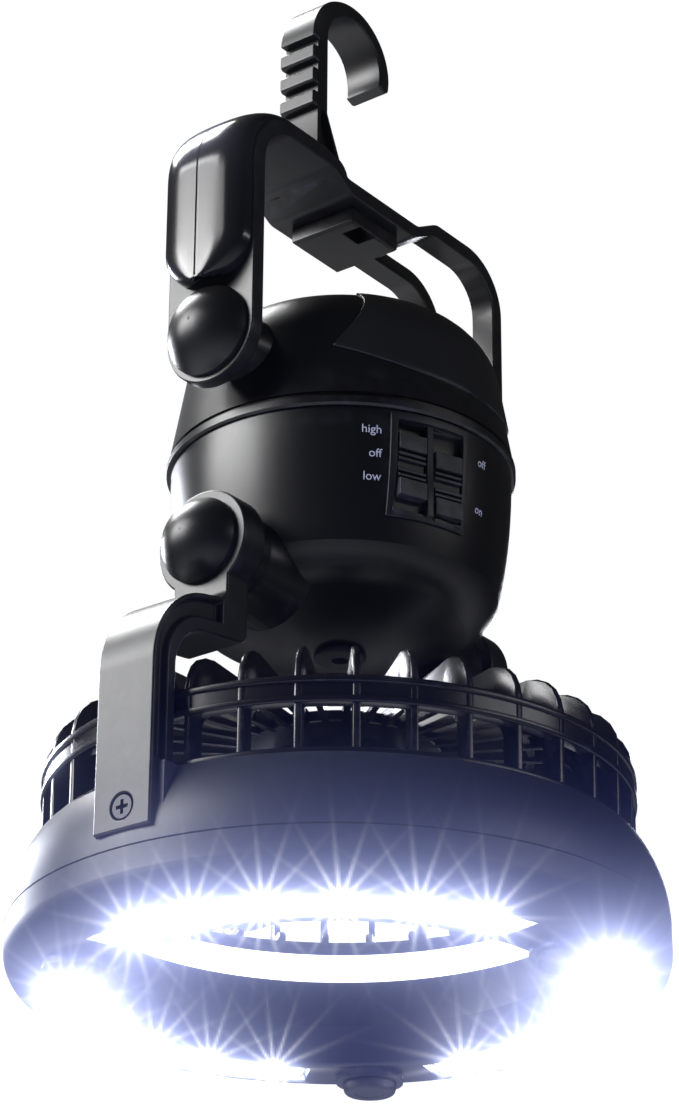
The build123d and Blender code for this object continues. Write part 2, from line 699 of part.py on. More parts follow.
def make_knob(side):
    """Slide knob with a block at each end, ridges between and a stem."""
    y = side * KNOB_Y
    mid = PANEL_MID_Z if side < 0 else PANEL_MID_Z - LIGHT_THROW / 2
    base_x = PANEL_FLOOR_X + PANEL_FLOOR_T + 0.1
    half = KNOB_H / 2
    wide = (y - KNOB_W / 2, y + KNOB_W / 2)
    knob = block((base_x, base_x + 1.2), wide, (mid - half, mid + half))
    for end in (-1, 1):
        z_lo, z_hi = sorted((end * (half - KNOB_END), end * half))
        knob += block((base_x, base_x + 2.7), wide, (mid + z_lo, mid + z_hi))
        for k in (1, 2):
            z = end * (half - KNOB_END - k * KNOB_RIB_PITCH + KNOB_RIB / 2)
            knob += block((base_x, base_x + 2.2), wide, (mid + z - KNOB_RIB / 2, mid + z + KNOB_RIB / 2))
    stem = block((PANEL_FLOOR_X - 4.4, base_x + 0.5), (y - 1.1, y + 1.1), (mid - 1.5, mid + 1.5))
    return panel_frame(knob + stem)


# ---------------------------------------------------------------- top cover
def cover_profile(inset):
    """Closed half-section of the top cover, moved inwards by an inset."""
    r_low = LIP_R - 0.5 - inset
    z_low = RIM_Z + LIP_H + 1.0
    shoulder = (COVER_SHOULDER_R - inset, 0, COVER_SHOULDER_Z)
    corner = (COVER_SHOULDER_R - CROWN_EDGE_IN - inset * 0.4, 0,
              COVER_TOP_Z - CROWN_EDGE_DROP - inset * 0.9)
    start = (shoulder[0] - r_low, 0, shoulder[2] - z_low)
    side = Line((r_low, 0, z_low), shoulder)
    bend = TangentArc(shoulder, corner, tangent=start)
    crown = TangentArc((0, 0, COVER_TOP_Z - inset), corner, tangent=(1, 0, 0))
    return side + bend + crown, r_low, z_low


def make_cover():
    """Domed battery cover with a beaded lip, pivot bosses and a bayonet rim."""
    curve, r_low, z_low = cover_profile(0)
    lip_z = RIM_Z + 0.2
    throat = RIM_R - WALL + 0.4
    socket = RIM_R - NECK_STEP + NECK_GAP
    step_z = RIM_Z + NECK_H + NECK_GAP
    rest = Polyline(*on_xz([
        (r_low, z_low), (LIP_R - 1.1, z_low), (LIP_R - 1.1, z_low - 0.8), (LIP_R, z_low - 1.4),
        (LIP_R, lip_z + 0.5), (LIP_R - 0.5, lip_z), (0, lip_z), (0, COVER_TOP_Z)]))
    outer = spun(curve + rest)
    curve_in, r_in, z_in = cover_profile(WALL)
    rest_in = Polyline(*on_xz([
        (r_in, z_in), (throat, z_in - 0.4), (throat, step_z), (socket, step_z), (socket, RIM_Z - 5),
        (0, RIM_Z - 5), (0, COVER_TOP_Z - WALL)]))
    inner = spun(curve_in + rest_in)
    left, right = boss_pair(UPPER_BOSS_END_X, COVER_SHOULDER_R - 6.6, FOLD_Z, BOSS_R, UPPER_FAIRING)
    body = (outer + left + right) - inner
    for side in (-1, 1):
        span = sorted((side * (COVER_SHOULDER_R - 4.0), side * UPPER_BOSS_END_X))
        body += rod_x(BOSS_R - 2.4, *span, FOLD_Z)
        body -= rod_x(PIVOT_THREAD_R, *sorted((side * (UPPER_BOSS_END_X - PIVOT_THREAD_LEN),
                                               side * (UPPER_BOSS_END_X + 1))), FOLD_Z)
    return body


def make_badge():
    """Bare badge panel: a thin skin that follows the dome."""
    curve, r_low, z_low = cover_profile(-BADGE_T)
    skin = spun(curve + Polyline(*on_xz([(r_low, z_low), (0, z_low), (0, COVER_TOP_Z + BADGE_T)])))
    dome, r_dome, z_dome = cover_profile(0)
    skin -= spun(dome + Polyline(*on_xz([(r_dome, z_dome), (0, z_dome), (0, COVER_TOP_Z)])))
    outline = make_face(Polyline(*on_xz([
        (-BADGE_LO_W / 2, BADGE_LO_Z), (BADGE_LO_W / 2, BADGE_LO_Z),
        (BADGE_HI_W / 2, BADGE_HI_Z), (-BADGE_HI_W / 2, BADGE_HI_Z)]), close=True))
    return skin & extrude(outline, amount=2 * LIP_R, dir=(0, -1, 0))


def make_top_contact():
    """Bridge contact that joins the two cells at the top."""
    z = CELL_Z + CELL_LEN + 0.05
    strip = block((-CELL_R - 6, CELL_R + 6), (-4.5, 4.5), (z, z + 0.6))
    strip = turned(strip, PANEL_ANGLE + 90)
    return strip


def make_top_plate():
    """Insulating plate in the cover that carries the bridge contact."""
    z = CELL_Z + CELL_LEN + 0.65
    curve, r_in, z_in = cover_profile(WALL + 0.05)
    inner = spun(curve + Polyline(*on_xz([(r_in, z_in), (0, z_in), (0, COVER_TOP_Z - WALL - 0.05)])))
    return disc(LIP_R, z, z + 2.0) & inner


# ---------------------------------------------------------------- pivots
def make_washer(boss_x, z):
    """Washer of one pivot on the +X side."""
    return rod_x(BOSS_R - 0.4, boss_x, boss_x + WASHER_T, z) - rod_x(PIN_R, boss_x - 1, boss_x + 2, z)


def make_pivot_screw(boss_x, eye_t, z):
    """Shouldered pivot screw: thread in the boss, smooth pin in the eye, flat head."""
    eye_out = boss_x + WASHER_T + 2 * FACE_GAP + eye_t
    thread = rod_x(PIVOT_THREAD_R, boss_x - PIVOT_THREAD_LEN, boss_x, z)
    pin = rod_x(PIN_R, boss_x, eye_out, z)
    head = rod_x(HEAD_SCREW_R, eye_out, eye_out + HEAD_SCREW_H, z)
    screw = thread + pin + head
    slot = block((eye_out + HEAD_SCREW_H - 1.0, eye_out + HEAD_SCREW_H + 1), (-0.7, 0.7), (z - 4, z + 4))
    return screw - slot


def make_cap(face_x, r, z):
    """Domed cap that covers a pivot screw."""
    base = face_x + 1.2
    apex = base + CAP_H
    ball = (r * r + CAP_H * CAP_H) / (2 * CAP_H)
    centre = apex - ball
    lean = radians(45)

    def bulge(inset, low_r):
        half = ball - inset
        mid = (centre + half * cos(lean * 0.5), 0, z + half * sin(lean * 0.5))
        return ThreePointArc((base, 0, z + low_r), mid, (apex - inset, 0, z))

    def reach(inset):
        half = ball - inset
        return (half * half - (base - centre) ** 2) ** 0.5

    r_out, r_in = reach(0), reach(CAP_T)
    lines = Line((face_x, 0, z + r_out), (base, 0, z + r_out)) + bulge(0, r_out)
    lines += Line((apex, 0, z), (apex - CAP_T, 0, z)) + bulge(CAP_T, r_in)
    lines += Polyline((base, 0, z + r_in), (face_x, 0, z + r_in), (face_x, 0, z + r_out))
    return revolve(make_face(lines), Axis((0, 0, z), (1, 0, 0)))


# ---------------------------------------------------------------- yoke arms
KNUCKLE_IN_X = BOSS_END_X + WASHER_T + FACE_GAP
KNUCKLE_OUT_X = KNUCKLE_IN_X + KNUCKLE_T


def make_yoke_arm():
    """Gooseneck arm on the +X side: eye, bend outwards and a flat leg with side flanges."""
    shelf_lo = ARM_SHELF_Z - ARM_SHELF_T
    outer = chain([(KNUCKLE_OUT_X, TILT_Z), (KNUCKLE_OUT_X, ARM_SHELF_Z),
                   (ARM_OUT_X, ARM_SHELF_Z - ARM_SHELF_DROP), (ARM_OUT_X, ARM_FOOT_Z)], [3.0, ARM_BEND_R])
    inner = chain([(ARM_IN_X, ARM_FOOT_Z), (ARM_IN_X, shelf_lo - 2.0), (KNUCKLE_IN_X, shelf_lo + 1.4),
                   (KNUCKLE_IN_X, TILT_Z)], [ARM_BEND_R - ARM_T - 3.0, 3.0])
    ends = Line((ARM_OUT_X, 0, ARM_FOOT_Z), (ARM_IN_X, 0, ARM_FOOT_Z))
    ends += Line((KNUCKLE_IN_X, 0, TILT_Z), (KNUCKLE_OUT_X, 0, TILT_Z))
    leg = slab(outer + ends + inner, ARM_W)
    eye = rod_x(KNUCKLE_R, KNUCKLE_IN_X, KNUCKLE_OUT_X, TILT_Z)
    arm = leg + eye
    for side in (-1, 1):
        arm -= arm_channel(side)
    arm -= rod_x(PIN_R + RUN_GAP, KNUCKLE_IN_X - 1, KNUCKLE_OUT_X + 1, TILT_Z)
    arm -= rod_x(YOKE_SCREW_SHANK + 0.1, ARM_IN_X - 1, ARM_OUT_X + 1, YOKE_SCREW_Z)
    arm -= rod_x(YOKE_SCREW_R + 0.3, ARM_OUT_X - 2.4, ARM_OUT_X + 1, YOKE_SCREW_Z)
    return arm


def arm_channel(side):
    """Long groove in one side of the leg that leaves a rib along each edge."""
    rib = ARM_RIB_T
    shelf_lo = ARM_SHELF_Z - ARM_SHELF_T
    end_z = ARM_FOOT_Z + 16.0
    root_x = KNUCKLE_OUT_X + rib
    low_x = ARM_IN_X + 2 * rib
    high_x = ARM_OUT_X - rib
    outer = chain([(root_x, ARM_SHELF_Z - rib), (high_x, ARM_SHELF_Z - ARM_SHELF_DROP - rib),
                   (high_x, end_z)], [ARM_BEND_R - rib])
    inner = chain([(low_x, end_z), (low_x, shelf_lo - 2.0 + 2 * rib), (root_x, shelf_lo + 1.0 + 2 * rib)],
                  [ARM_BEND_R - ARM_T - 3.0 + 2 * rib])
    ends = Line((high_x, 0, end_z), (low_x, 0, end_z))
    ends += Line((root_x, 0, shelf_lo + 1.0 + 2 * rib), (root_x, 0, ARM_SHELF_Z - rib))
    groove = extrude(make_face(outer + ends + inner), amount=ARM_W, dir=(0, side, 0))
    return Pos(0, side * (ARM_W / 2 - ARM_CHANNEL), 0) * groove


def make_yoke_screw():
    """Cross-head screw through the arm into the shell, +X side."""
    head = rod_x(YOKE_SCREW_R, ARM_OUT_X - 2.4, ARM_OUT_X - 0.2, YOKE_SCREW_Z)
    shank = rod_x(YOKE_SCREW_SHANK, ARM_IN_X - PAD_BACK - 4.0, ARM_OUT_X - 2.4, YOKE_SCREW_Z)
    long, slim = YOKE_SCREW_R * 0.62, YOKE_SCREW_R * 0.16
    depth = (ARM_OUT_X - 1.4, ARM_OUT_X + 1)
    cross = block(depth, (-long, long), (YOKE_SCREW_Z - slim, YOKE_SCREW_Z + slim))
    cross += block(depth, (-slim, slim), (YOKE_SCREW_Z - long, YOKE_SCREW_Z + long))
    return head + shank - cross


def make_yoke_nut():
    """Square nut behind the shell, +X side."""
    nut_x = ARM_IN_X - PAD_BACK - 2.4
    nut = block((nut_x, nut_x + 2.4), (-3.2, 3.2), (YOKE_SCREW_Z - 3.2, YOKE_SCREW_Z + 3.2))
    return nut - rod_x(YOKE_SCREW_SHANK, nut_x - 1, nut_x + 4, YOKE_SCREW_Z)


# ---------------------------------------------------------------- handle
HANDLE_OUT_X = HANDLE_IN_X + HANDLE_T
STRAP_HI_Z = STRAP_LO_Z + HANDLE_T
RAISED_LO_Z = STRAP_LO_Z + CORNER_RISE
RAISED_HI_Z = STRAP_HI_Z + CORNER_RISE
ABOVE_Z = HOOK_EYE_Z


def handle_side(outer):
    """Points of the handle outline from the left arm over the strap to the right arm."""
    x = HANDLE_OUT_X if outer else HANDLE_IN_X
    high = RAISED_HI_Z if outer else RAISED_LO_Z
    low = STRAP_HI_Z if outer else STRAP_LO_Z
    shift = 0.8 if outer else -0.8
    inner_run = SADDLE_X + shift
    outer_run = SADDLE_X + SADDLE_RUN + shift
    return [(-x, FOLD_Z), (-x, high), (-outer_run, high), (-inner_run, low),
            (inner_run, low), (outer_run, high), (x, high), (x, FOLD_Z)]


def make_handle():
    """Handle frame: two arms, raised corners, a saddle for the hook and the hook's slot."""
    bends_out = [CORNER_R, 5.0, 5.0, 5.0, 5.0, CORNER_R]
    bends_in = [CORNER_R - HANDLE_T, 5.0, 5.0, 5.0, 5.0, CORNER_R - HANDLE_T]
    outer = chain(handle_side(True), bends_out)
    inner = chain(handle_side(False), bends_in)
    ends = Line((-HANDLE_OUT_X, 0, FOLD_Z), (-HANDLE_IN_X, 0, FOLD_Z))
    ends += Line((HANDLE_OUT_X, 0, FOLD_Z), (HANDLE_IN_X, 0, FOLD_Z))
    frame = slab(outer + inner + ends, HANDLE_W)
    for side in (-1, 1):
        span = sorted((side * HANDLE_IN_X, side * HANDLE_OUT_X))
        frame += rod_x(HANDLE_W / 2, span[0], span[1], FOLD_Z)
        frame -= rod_x(PIN_R + RUN_GAP, span[0] - 1, span[1] + 1, FOLD_Z)
    frame -= block((SLOT_X, 60), (-SLOT_W / 2, SLOT_W / 2), (SLOT_LO_Z, ABOVE_Z))
    for side in (-1, 1):
        frame += ear(side)
    frame -= rod_y(HOOK_PIN_R, -30, 30, HOOK_AXIS_X, HOOK_AXIS_Z)
    knuckle_room = rod_y(HOOK_KNUCKLE_R + 0.3, -EAR_IN, EAR_IN, HOOK_AXIS_X, HOOK_AXIS_Z)
    frame -= knuckle_room
    neck_end = HOOK_AXIS_X + HOOK_NECK_H + 1.0
    frame -= block((HOOK_AXIS_X, neck_end), (-EAR_IN, EAR_IN), (HOOK_AXIS_Z - HOOK_KNUCKLE_R - 0.2, ABOVE_Z))
    frame -= block((HOOK_AXIS_X, SLOT_X + 1), (-EAR_IN, EAR_IN), (HOOK_AXIS_Z - 0.9, ABOVE_Z))
    frame -= block(WINDOW_X, WINDOW_Y, (STRAP_LO_Z - 9, ABOVE_Z))
    return frame


EAR_IN = HOOK_W / 2 + 0.2
WINDOW_X = (-5.2, 1.2)
WINDOW_Y = (-9.2, -3.9)


def ear(side):
    """One lug that carries the hook pin."""
    y = sorted((side * EAR_IN, side * (EAR_IN + EAR_T)))
    lug = rod_y(5.0, y[0], y[1], HOOK_AXIS_X, HOOK_AXIS_Z)
    lug += block((HOOK_AXIS_X - 5.0, HOOK_AXIS_X + 5.0), y, (STRAP_HI_Z - 1.0, HOOK_AXIS_Z))
    return lug


def make_hook_pin():
    """Pin that the hook turns on."""
    reach = EAR_IN + EAR_T
    return rod_y(HOOK_PIN_R, -reach, reach, HOOK_AXIS_X, HOOK_AXIS_Z)


def make_housing():
    """Box under the strap that stiffens the hook hinge."""
    box = block(HOUSING_X, (-HOUSING_W / 2, HOUSING_W / 2), (STRAP_LO_Z - HOUSING_H, STRAP_LO_Z))
    box = chamfer(box.edges().group_by(Axis.Z)[0], 0.6)
    box -= block(WINDOW_X, WINDOW_Y, (STRAP_LO_Z - 9, ABOVE_Z))
    pocket = block((HOUSING_X[0] + 12.0, HOUSING_X[1] - 1.6), (-HOUSING_W / 2 + 1.6, HOUSING_W / 2 - 1.6),
                   (STRAP_LO_Z - HOUSING_H + 1.4, STRAP_LO_Z + 1))
    return box - pocket


def make_grip_pad():
    """Rounded grip pad wrapped over the left corner of the handle."""
    out_x = HANDLE_OUT_X + PAD_T
    top = RAISED_HI_Z + PAD_TOP_T
    outer = chain([(-HANDLE_OUT_X, PAD_LO_Z), (-out_x, PAD_LO_Z), (-out_x, top),
                   (PAD_END_X, top), (PAD_END_X, STRAP_HI_Z + 0.4)], [5.6, CORNER_R + 5.0, 5.0])
    close = Polyline(*on_xz([(PAD_END_X, STRAP_HI_Z + 0.4), (-HANDLE_IN_X - 1, STRAP_HI_Z + 0.4),
                             (-HANDLE_OUT_X, PAD_LO_Z)]))
    pad = slab(outer + close, PAD_W)
    rounded = [e for e in pad.edges() if abs(abs(e.center().Y) - PAD_W / 2) < 0.01
               and (e.center().X < -HANDLE_OUT_X - 0.2 or e.center().Z > RAISED_HI_Z)]
    pad = fillet(rounded, PAD_EDGE_R)
    end_shape = Plane.YZ * Pos(0, PAD_LO_Z + 60) * RectangleRounded(PAD_W, 120, PAD_END_R)
    pad &= extrude(end_shape, amount=2 * HANDLE_OUT_X, dir=(-1, 0, 0))
    frame_outer = chain(handle_side(True), [CORNER_R, 5.0, 5.0, 5.0, 5.0, CORNER_R])
    core = slab(frame_outer + Line((HANDLE_OUT_X, 0, FOLD_Z), (-HANDLE_OUT_X, 0, FOLD_Z)), PAD_W + 4)
    pad -= core
    notch = EAR_IN + EAR_T + 0.3
    pad -= block((HOOK_AXIS_X - 9.5, 0), (-notch, notch), (STRAP_LO_Z, ABOVE_Z))
    return pad


# ---------------------------------------------------------------- hook
def make_hook():
    """Folding hook: knuckle, ridged spine and a J that opens towards +X."""
    out_r = HOOK_IN_R + HOOK_T
    spine_out = HOOK_EYE_X - out_r
    spine_in = HOOK_EYE_X - HOOK_IN_R
    crest_x = spine_out - RIDGE_DEPTH
    crest_z = HOOK_EYE_Z - HOOK_CREST_DROP
    lean = radians(HOOK_TIP_ANGLE)
    flare_x = HOOK_AXIS_X + HOOK_KNUCKLE_R

    def on_eye(r, angle):
        return (HOOK_EYE_X + r * cos(angle), 0, HOOK_EYE_Z + r * sin(angle))

    lines = TangentArc(on_eye(out_r, radians(90)), (crest_x, 0, crest_z), tangent=(-1, 0, 0))
    lines += ThreePointArc(on_eye(out_r, radians(90)), on_eye(out_r, radians(35)), on_eye(out_r, -lean))
    lines += Line(on_eye(out_r, -lean), on_eye(HOOK_IN_R, -lean))
    lines += ThreePointArc(on_eye(HOOK_IN_R, -lean), on_eye(HOOK_IN_R, radians(80)),
                           on_eye(HOOK_IN_R, radians(180)))
    lines += Polyline(*on_xz([
        (spine_in, HOOK_EYE_Z), (spine_in, HOOK_AXIS_Z + HOOK_NECK_H), (flare_x, HOOK_AXIS_Z + HOOK_FLARE_H),
        (flare_x, HOOK_AXIS_Z), (HOOK_AXIS_X - HOOK_KNUCKLE_R, HOOK_AXIS_Z),
        (spine_out, HOOK_AXIS_Z + HOOK_FLARE_H + 1.0), (spine_out, crest_z), (crest_x, crest_z)]))
    hook = slab(lines, HOOK_W)
    tip = Vector(*on_eye(out_r, -lean))
    corner = hook.edges().filter_by(Axis.Y).sort_by(lambda e: (e.center() - tip).length)[0]
    hook = fillet(corner, HOOK_TIP_ROUND)
    hook += rod_y(HOOK_KNUCKLE_R, -HOOK_W / 2, HOOK_W / 2, HOOK_AXIS_X, HOOK_AXIS_Z)
    for k in range(RIDGE_COUNT):
        high = crest_z - RIDGE_GAP - k * RIDGE_PITCH
        ridge = block((crest_x, spine_out + 0.5), (-HOOK_W / 2, HOOK_W / 2),
                      (high - RIDGE_PITCH + RIDGE_GAP, high))
        hook += fillet(ridge.edges().filter_by(Axis.Y).group_by(Axis.X)[0], 0.9)
    web = Polyline(*on_xz([
        (spine_out + 1.0, HOOK_AXIS_Z + HOOK_FLARE_H + 1.5), (spine_out + 1.0, HOOK_AXIS_Z + HOOK_NECK_H),
        (spine_in - 0.6, HOOK_AXIS_Z + HOOK_NECK_H), (flare_x - 1.6, HOOK_AXIS_Z + HOOK_FLARE_H),
        (spine_out + 1.0, HOOK_AXIS_Z + HOOK_FLARE_H + 1.5)]))
    for side in (-1, 1):
        recess = extrude(make_face(web), amount=HOOK_W, dir=(0, side, 0))
        hook -= Pos(0, side * (HOOK_W / 2 - 2.0), 0) * recess
    return hook - rod_y(HOOK_PIN_R + RUN_GAP, -30, 30, HOOK_AXIS_X, HOOK_AXIS_Z)


# ---------------------------------------------------------------- build
def build_all():
    parts["bezel"] = make_bezel()
    parts["shell"] = make_shell()
    parts["duct_collar"] = make_duct_collar()
    parts["cage"] = make_cage()
    for k, angle in enumerate(FOOT_ANGLES, 1):
        parts[f"foot_{k}"] = make_foot(angle)
    for k, angle in enumerate(ARC_ANGLES, 1):
        parts[f"lens_{k}"] = make_lens(angle)
        parts[f"reflector_{k}"] = make_reflector(angle)
    parts["leds"] = make_leds()
    parts["led_board"] = make_led_board()
    parts["board_posts"] = make_board_posts()
    parts["board_screws"] = make_board_screws()
    parts["motor"] = make_motor()
    parts["motor_shaft"] = make_shaft()
    parts["rotor"] = make_rotor()
    arm = make_yoke_arm()
    parts["yoke_arm_right"] = arm
    parts["yoke_arm_left"] = mirrored(arm)
    parts["yoke_screws"] = [make_yoke_screw(), mirrored(make_yoke_screw())]
    parts["yoke_nuts"] = [make_yoke_nut(), mirrored(make_yoke_nut())]
    lower_cap = make_cap(KNUCKLE_OUT_X, LOWER_CAP_R, TILT_Z)
    parts["lower_cap_right"] = lower_cap
    parts["lower_cap_left"] = mirrored(lower_cap)
    parts["barrel"] = make_barrel()
    parts["grommet"] = make_grommet()
    parts["cell_cradle"] = make_cradle()
    parts["cell_1"] = make_cell(0)
    parts["cell_2"] = make_cell(1)
    parts["lower_contacts"] = make_lower_contacts()
    parts["switch_panel"] = make_panel()
    parts["switch_board"] = make_switch_board()
    parts["fan_switch_body"] = make_switch_body(-1)
    parts["light_switch_body"] = make_switch_body(1)
    parts["fan_knob"] = make_knob(-1)
    parts["light_knob"] = make_knob(1)
    lower_washer = make_washer(BOSS_END_X, TILT_Z)
    parts["lower_washers"] = [lower_washer, mirrored(lower_washer)]
    lower_screw = make_pivot_screw(BOSS_END_X, KNUCKLE_T, TILT_Z)
    parts["lower_pivot_screws"] = [lower_screw, mirrored(lower_screw)]
    parts["cover"] = make_cover()
    parts["badge_panel"] = make_badge()
    parts["top_contact"] = make_top_contact()
    parts["top_plate"] = make_top_plate()
    upper_washer = make_washer(UPPER_BOSS_END_X, FOLD_Z)
    parts["upper_washers"] = [upper_washer, mirrored(upper_washer)]
    upper_screw = make_pivot_screw(UPPER_BOSS_END_X, HANDLE_T, FOLD_Z)
    parts["upper_pivot_screws"] = [upper_screw, mirrored(upper_screw)]
    parts["handle_frame"] = make_handle()
    parts["grip_pad"] = make_grip_pad()
    parts["hook_housing"] = make_housing()
    parts["hook_pin"] = make_hook_pin()
    upper_cap = make_cap(HANDLE_OUT_X, UPPER_CAP_R, FOLD_Z)
    parts["upper_cap_right"] = upper_cap
    parts["upper_cap_left"] = mirrored(upper_cap)
    parts["hook"] = make_hook()


build_all()
os.makedirs("parts", exist_ok=True)
for name, shape in parts.items():
    solid = Compound(children=shape) if isinstance(shape, list) else shape
    export_step(solid, f"parts/{name}.step")
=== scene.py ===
import json
from math import cos, pi, radians, sin, sqrt, tan

import bmesh
import bpy
from bpy.props import FloatProperty, FloatVectorProperty, IntProperty, PointerProperty
from bpy.types import Operator, Panel, PropertyGroup
from mathutils import Matrix, Vector
from mathutils.bvhtree import BVHTree

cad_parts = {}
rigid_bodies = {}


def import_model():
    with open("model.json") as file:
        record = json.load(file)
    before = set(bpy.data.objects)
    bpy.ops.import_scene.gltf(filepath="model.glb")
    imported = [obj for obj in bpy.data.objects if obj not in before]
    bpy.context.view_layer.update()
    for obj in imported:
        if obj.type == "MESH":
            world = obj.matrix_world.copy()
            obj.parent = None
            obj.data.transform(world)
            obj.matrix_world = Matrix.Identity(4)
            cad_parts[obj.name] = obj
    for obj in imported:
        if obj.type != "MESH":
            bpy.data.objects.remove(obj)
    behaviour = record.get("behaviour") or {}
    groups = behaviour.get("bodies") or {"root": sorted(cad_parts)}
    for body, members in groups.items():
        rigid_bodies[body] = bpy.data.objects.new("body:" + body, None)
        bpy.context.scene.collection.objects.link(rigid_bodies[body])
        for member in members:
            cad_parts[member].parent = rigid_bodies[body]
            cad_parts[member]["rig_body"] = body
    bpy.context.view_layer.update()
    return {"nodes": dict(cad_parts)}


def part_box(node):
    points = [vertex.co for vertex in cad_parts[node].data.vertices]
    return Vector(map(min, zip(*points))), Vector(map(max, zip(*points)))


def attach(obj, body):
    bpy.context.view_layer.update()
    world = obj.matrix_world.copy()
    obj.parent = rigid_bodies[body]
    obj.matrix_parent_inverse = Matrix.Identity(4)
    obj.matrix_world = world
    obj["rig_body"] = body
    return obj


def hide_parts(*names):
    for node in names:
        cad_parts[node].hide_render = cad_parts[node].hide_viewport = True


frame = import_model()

bl_info = {
    "name": "Camping Fan Finish",
    "version": (1, 0, 0),
    "blender": (4, 5, 0),
    "location": "3D View > Sidebar > Camping Fan",
    "description": "Dresses the fixed frame of a portable camping fan with its finishes and fine pieces",
    "category": "Object",
}

MM = 0.001
NODES = frame["nodes"]


# ------------------------------------------------------------------ settings
class FinishSettings(PropertyGroup):
    """Colours and textures of the moulded parts."""
    shell_colour: FloatVectorProperty(
        name="Shell colour", description="Black of the moulded housing", subtype="COLOR", size=3,
        default=(0.0075, 0.0075, 0.0085), min=0, max=1)
    shell_roughness: FloatProperty(
        name="Shell roughness", description="How satin the housing is", default=0.33, min=0, max=1)
    # partly painted light: charcoal plastic, made lighter and bluer to paint the blue glow of the lamps on
    # the head
    head_charcoal_and_glow: FloatVectorProperty(
        name="Head colour", description="Charcoal of the light ring", subtype="COLOR", size=3,
        default=(0.022, 0.025, 0.040), min=0, max=1)
    badge_colour: FloatVectorProperty(
        name="Badge colour", description="Bare plate on the dome", subtype="COLOR", size=3,
        default=(0.018, 0.018, 0.019), min=0, max=1)
    rubber_colour: FloatVectorProperty(
        name="Rubber colour", description="Feet and grommet", subtype="COLOR", size=3,
        default=(0.022, 0.022, 0.024), min=0, max=1)
    legend_colour: FloatVectorProperty(
        name="Legend colour", description="Ink of the switch legends", subtype="COLOR", size=3,
        default=(0.72, 0.72, 0.72), min=0, max=1)
    lamp_colour: FloatVectorProperty(
        name="Lamp colour", description="Light of the lamps", subtype="COLOR", size=3,
        default=(0.86, 0.90, 1.0), min=0, max=1)
    grain_size: FloatProperty(
        name="Grain size", description="Width of one speck of the moulded grain", subtype="DISTANCE",
        unit="LENGTH", default=0.35 * MM, min=0.05 * MM, max=5 * MM)


class StageSettings(PropertyGroup):
    """Camera, floor and light."""
    eye: FloatVectorProperty(
        name="Eye", description="Camera position", subtype="TRANSLATION", unit="LENGTH", size=3,
        default=(-0.6034, -0.4596, -0.2357))
    heading: FloatVectorProperty(
        name="Heading", description="Level direction that the camera faces", subtype="DIRECTION", size=3,
        default=(0.795, 0.606, 0.0))
    rise: FloatProperty(
        name="Rise", description="How far the camera looks up", subtype="ANGLE", default=radians(24.91))
    roll: FloatProperty(
        name="Roll", description="Turn of the camera about its view", subtype="ANGLE", default=radians(0.38))
    lens: FloatProperty(name="Lens", description="Focal length", default=111.96, min=10, max=500)
    floor_drop: FloatProperty(
        name="Floor drop", description="How far the floor lies below the hanging fan", subtype="DISTANCE",
        unit="LENGTH", default=0.55, min=0, max=5)
    floor_size: FloatProperty(
        name="Floor size", description="Half the width of the floor", subtype="DISTANCE", unit="LENGTH",
        default=6.0, min=1, max=50)
    room: FloatProperty(
        name="Room", description="Strength of the dim room that the fan reflects", default=0.022,
        min=0, max=1)


# ------------------------------------------------------------------ helpers
def link(obj):
    """Puts a new object into the scene."""
    bpy.context.scene.collection.objects.link(obj)
    return obj


def piece(name, mesh, material, body, slot, *replaced):
    """Finishes a new piece: its material, the body it rides on and the nodes it stands for."""
    mesh.materials.clear()
    mesh.materials.append(bpy.data.materials[material])
    obj = link(bpy.data.objects.new(name, mesh))
    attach(obj, body)
    if replaced:
        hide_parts(*replaced)
    return obj


def mesh_from(bm, name, smooth=True, sharp_angle=radians(32)):
    """A mesh from a bmesh, with its faces outwards and its sharp edges marked."""
    bmesh.ops.recalc_face_normals(bm, faces=bm.faces)
    mesh = bpy.data.meshes.new(name)
    bm.to_mesh(mesh)
    bm.free()
    for face in mesh.polygons:
        face.use_smooth = smooth
    mesh.set_sharp_from_angle(angle=sharp_angle)
    return mesh


def plain(obj):
    """The mesh of an object with its modifiers applied; the object is removed."""
    bpy.context.view_layer.update()
    mesh = bpy.data.meshes.new_from_object(obj.evaluated_get(bpy.context.evaluated_depsgraph_get()))
    bpy.data.objects.remove(obj)
    return mesh


def even_shading(mesh):
    """Keeps broad faces flat in their shading beside rounded edges."""
    obj = link(bpy.data.objects.new("shading", mesh))
    obj.modifiers.new("even", "WEIGHTED_NORMAL").keep_sharp = True
    return plain(obj)


def eased(corners, steps=3):
    """A closed outline of (x, z, radius) corners in millimetres, rounded, as points in metres."""
    points = []
    for i, (x, z, r) in enumerate(corners):
        here = Vector((x, z))
        if not r:
            points.append(here * MM)
            continue
        before = (Vector(corners[i - 1][:2]) - here).normalized()
        after = (Vector(corners[(i + 1) % len(corners)][:2]) - here).normalized()
        half = before.angle(after) / 2
        centre = here + (before + after).normalized() * r / sin(half)
        start = here + before * r / tan(half) - centre
        sweep = (pi - 2 * half) * (1 if before.cross(after) < 0 else -1)
        for k in range(steps + 1):
            a = sweep * k / steps
            points.append((centre + Vector((start.x * cos(a) - start.y * sin(a),
                                            start.x * sin(a) + start.y * cos(a)))) * MM)
    return points


def add_lathe(bm, outline, sides=144):
    """Adds a closed outline of (radius, height) turned about Z."""
    rings = [[bm.verts.new((r * cos(2 * pi * k / sides), r * sin(2 * pi * k / sides), z)) for r, z in outline]
             for k in range(sides)]
    for k, here in enumerate(rings):
        there = rings[(k + 1) % sides]
        for i in range(len(outline)):
            j = (i + 1) % len(outline)
            bm.faces.new((here[i], there[i], there[j], here[j]))


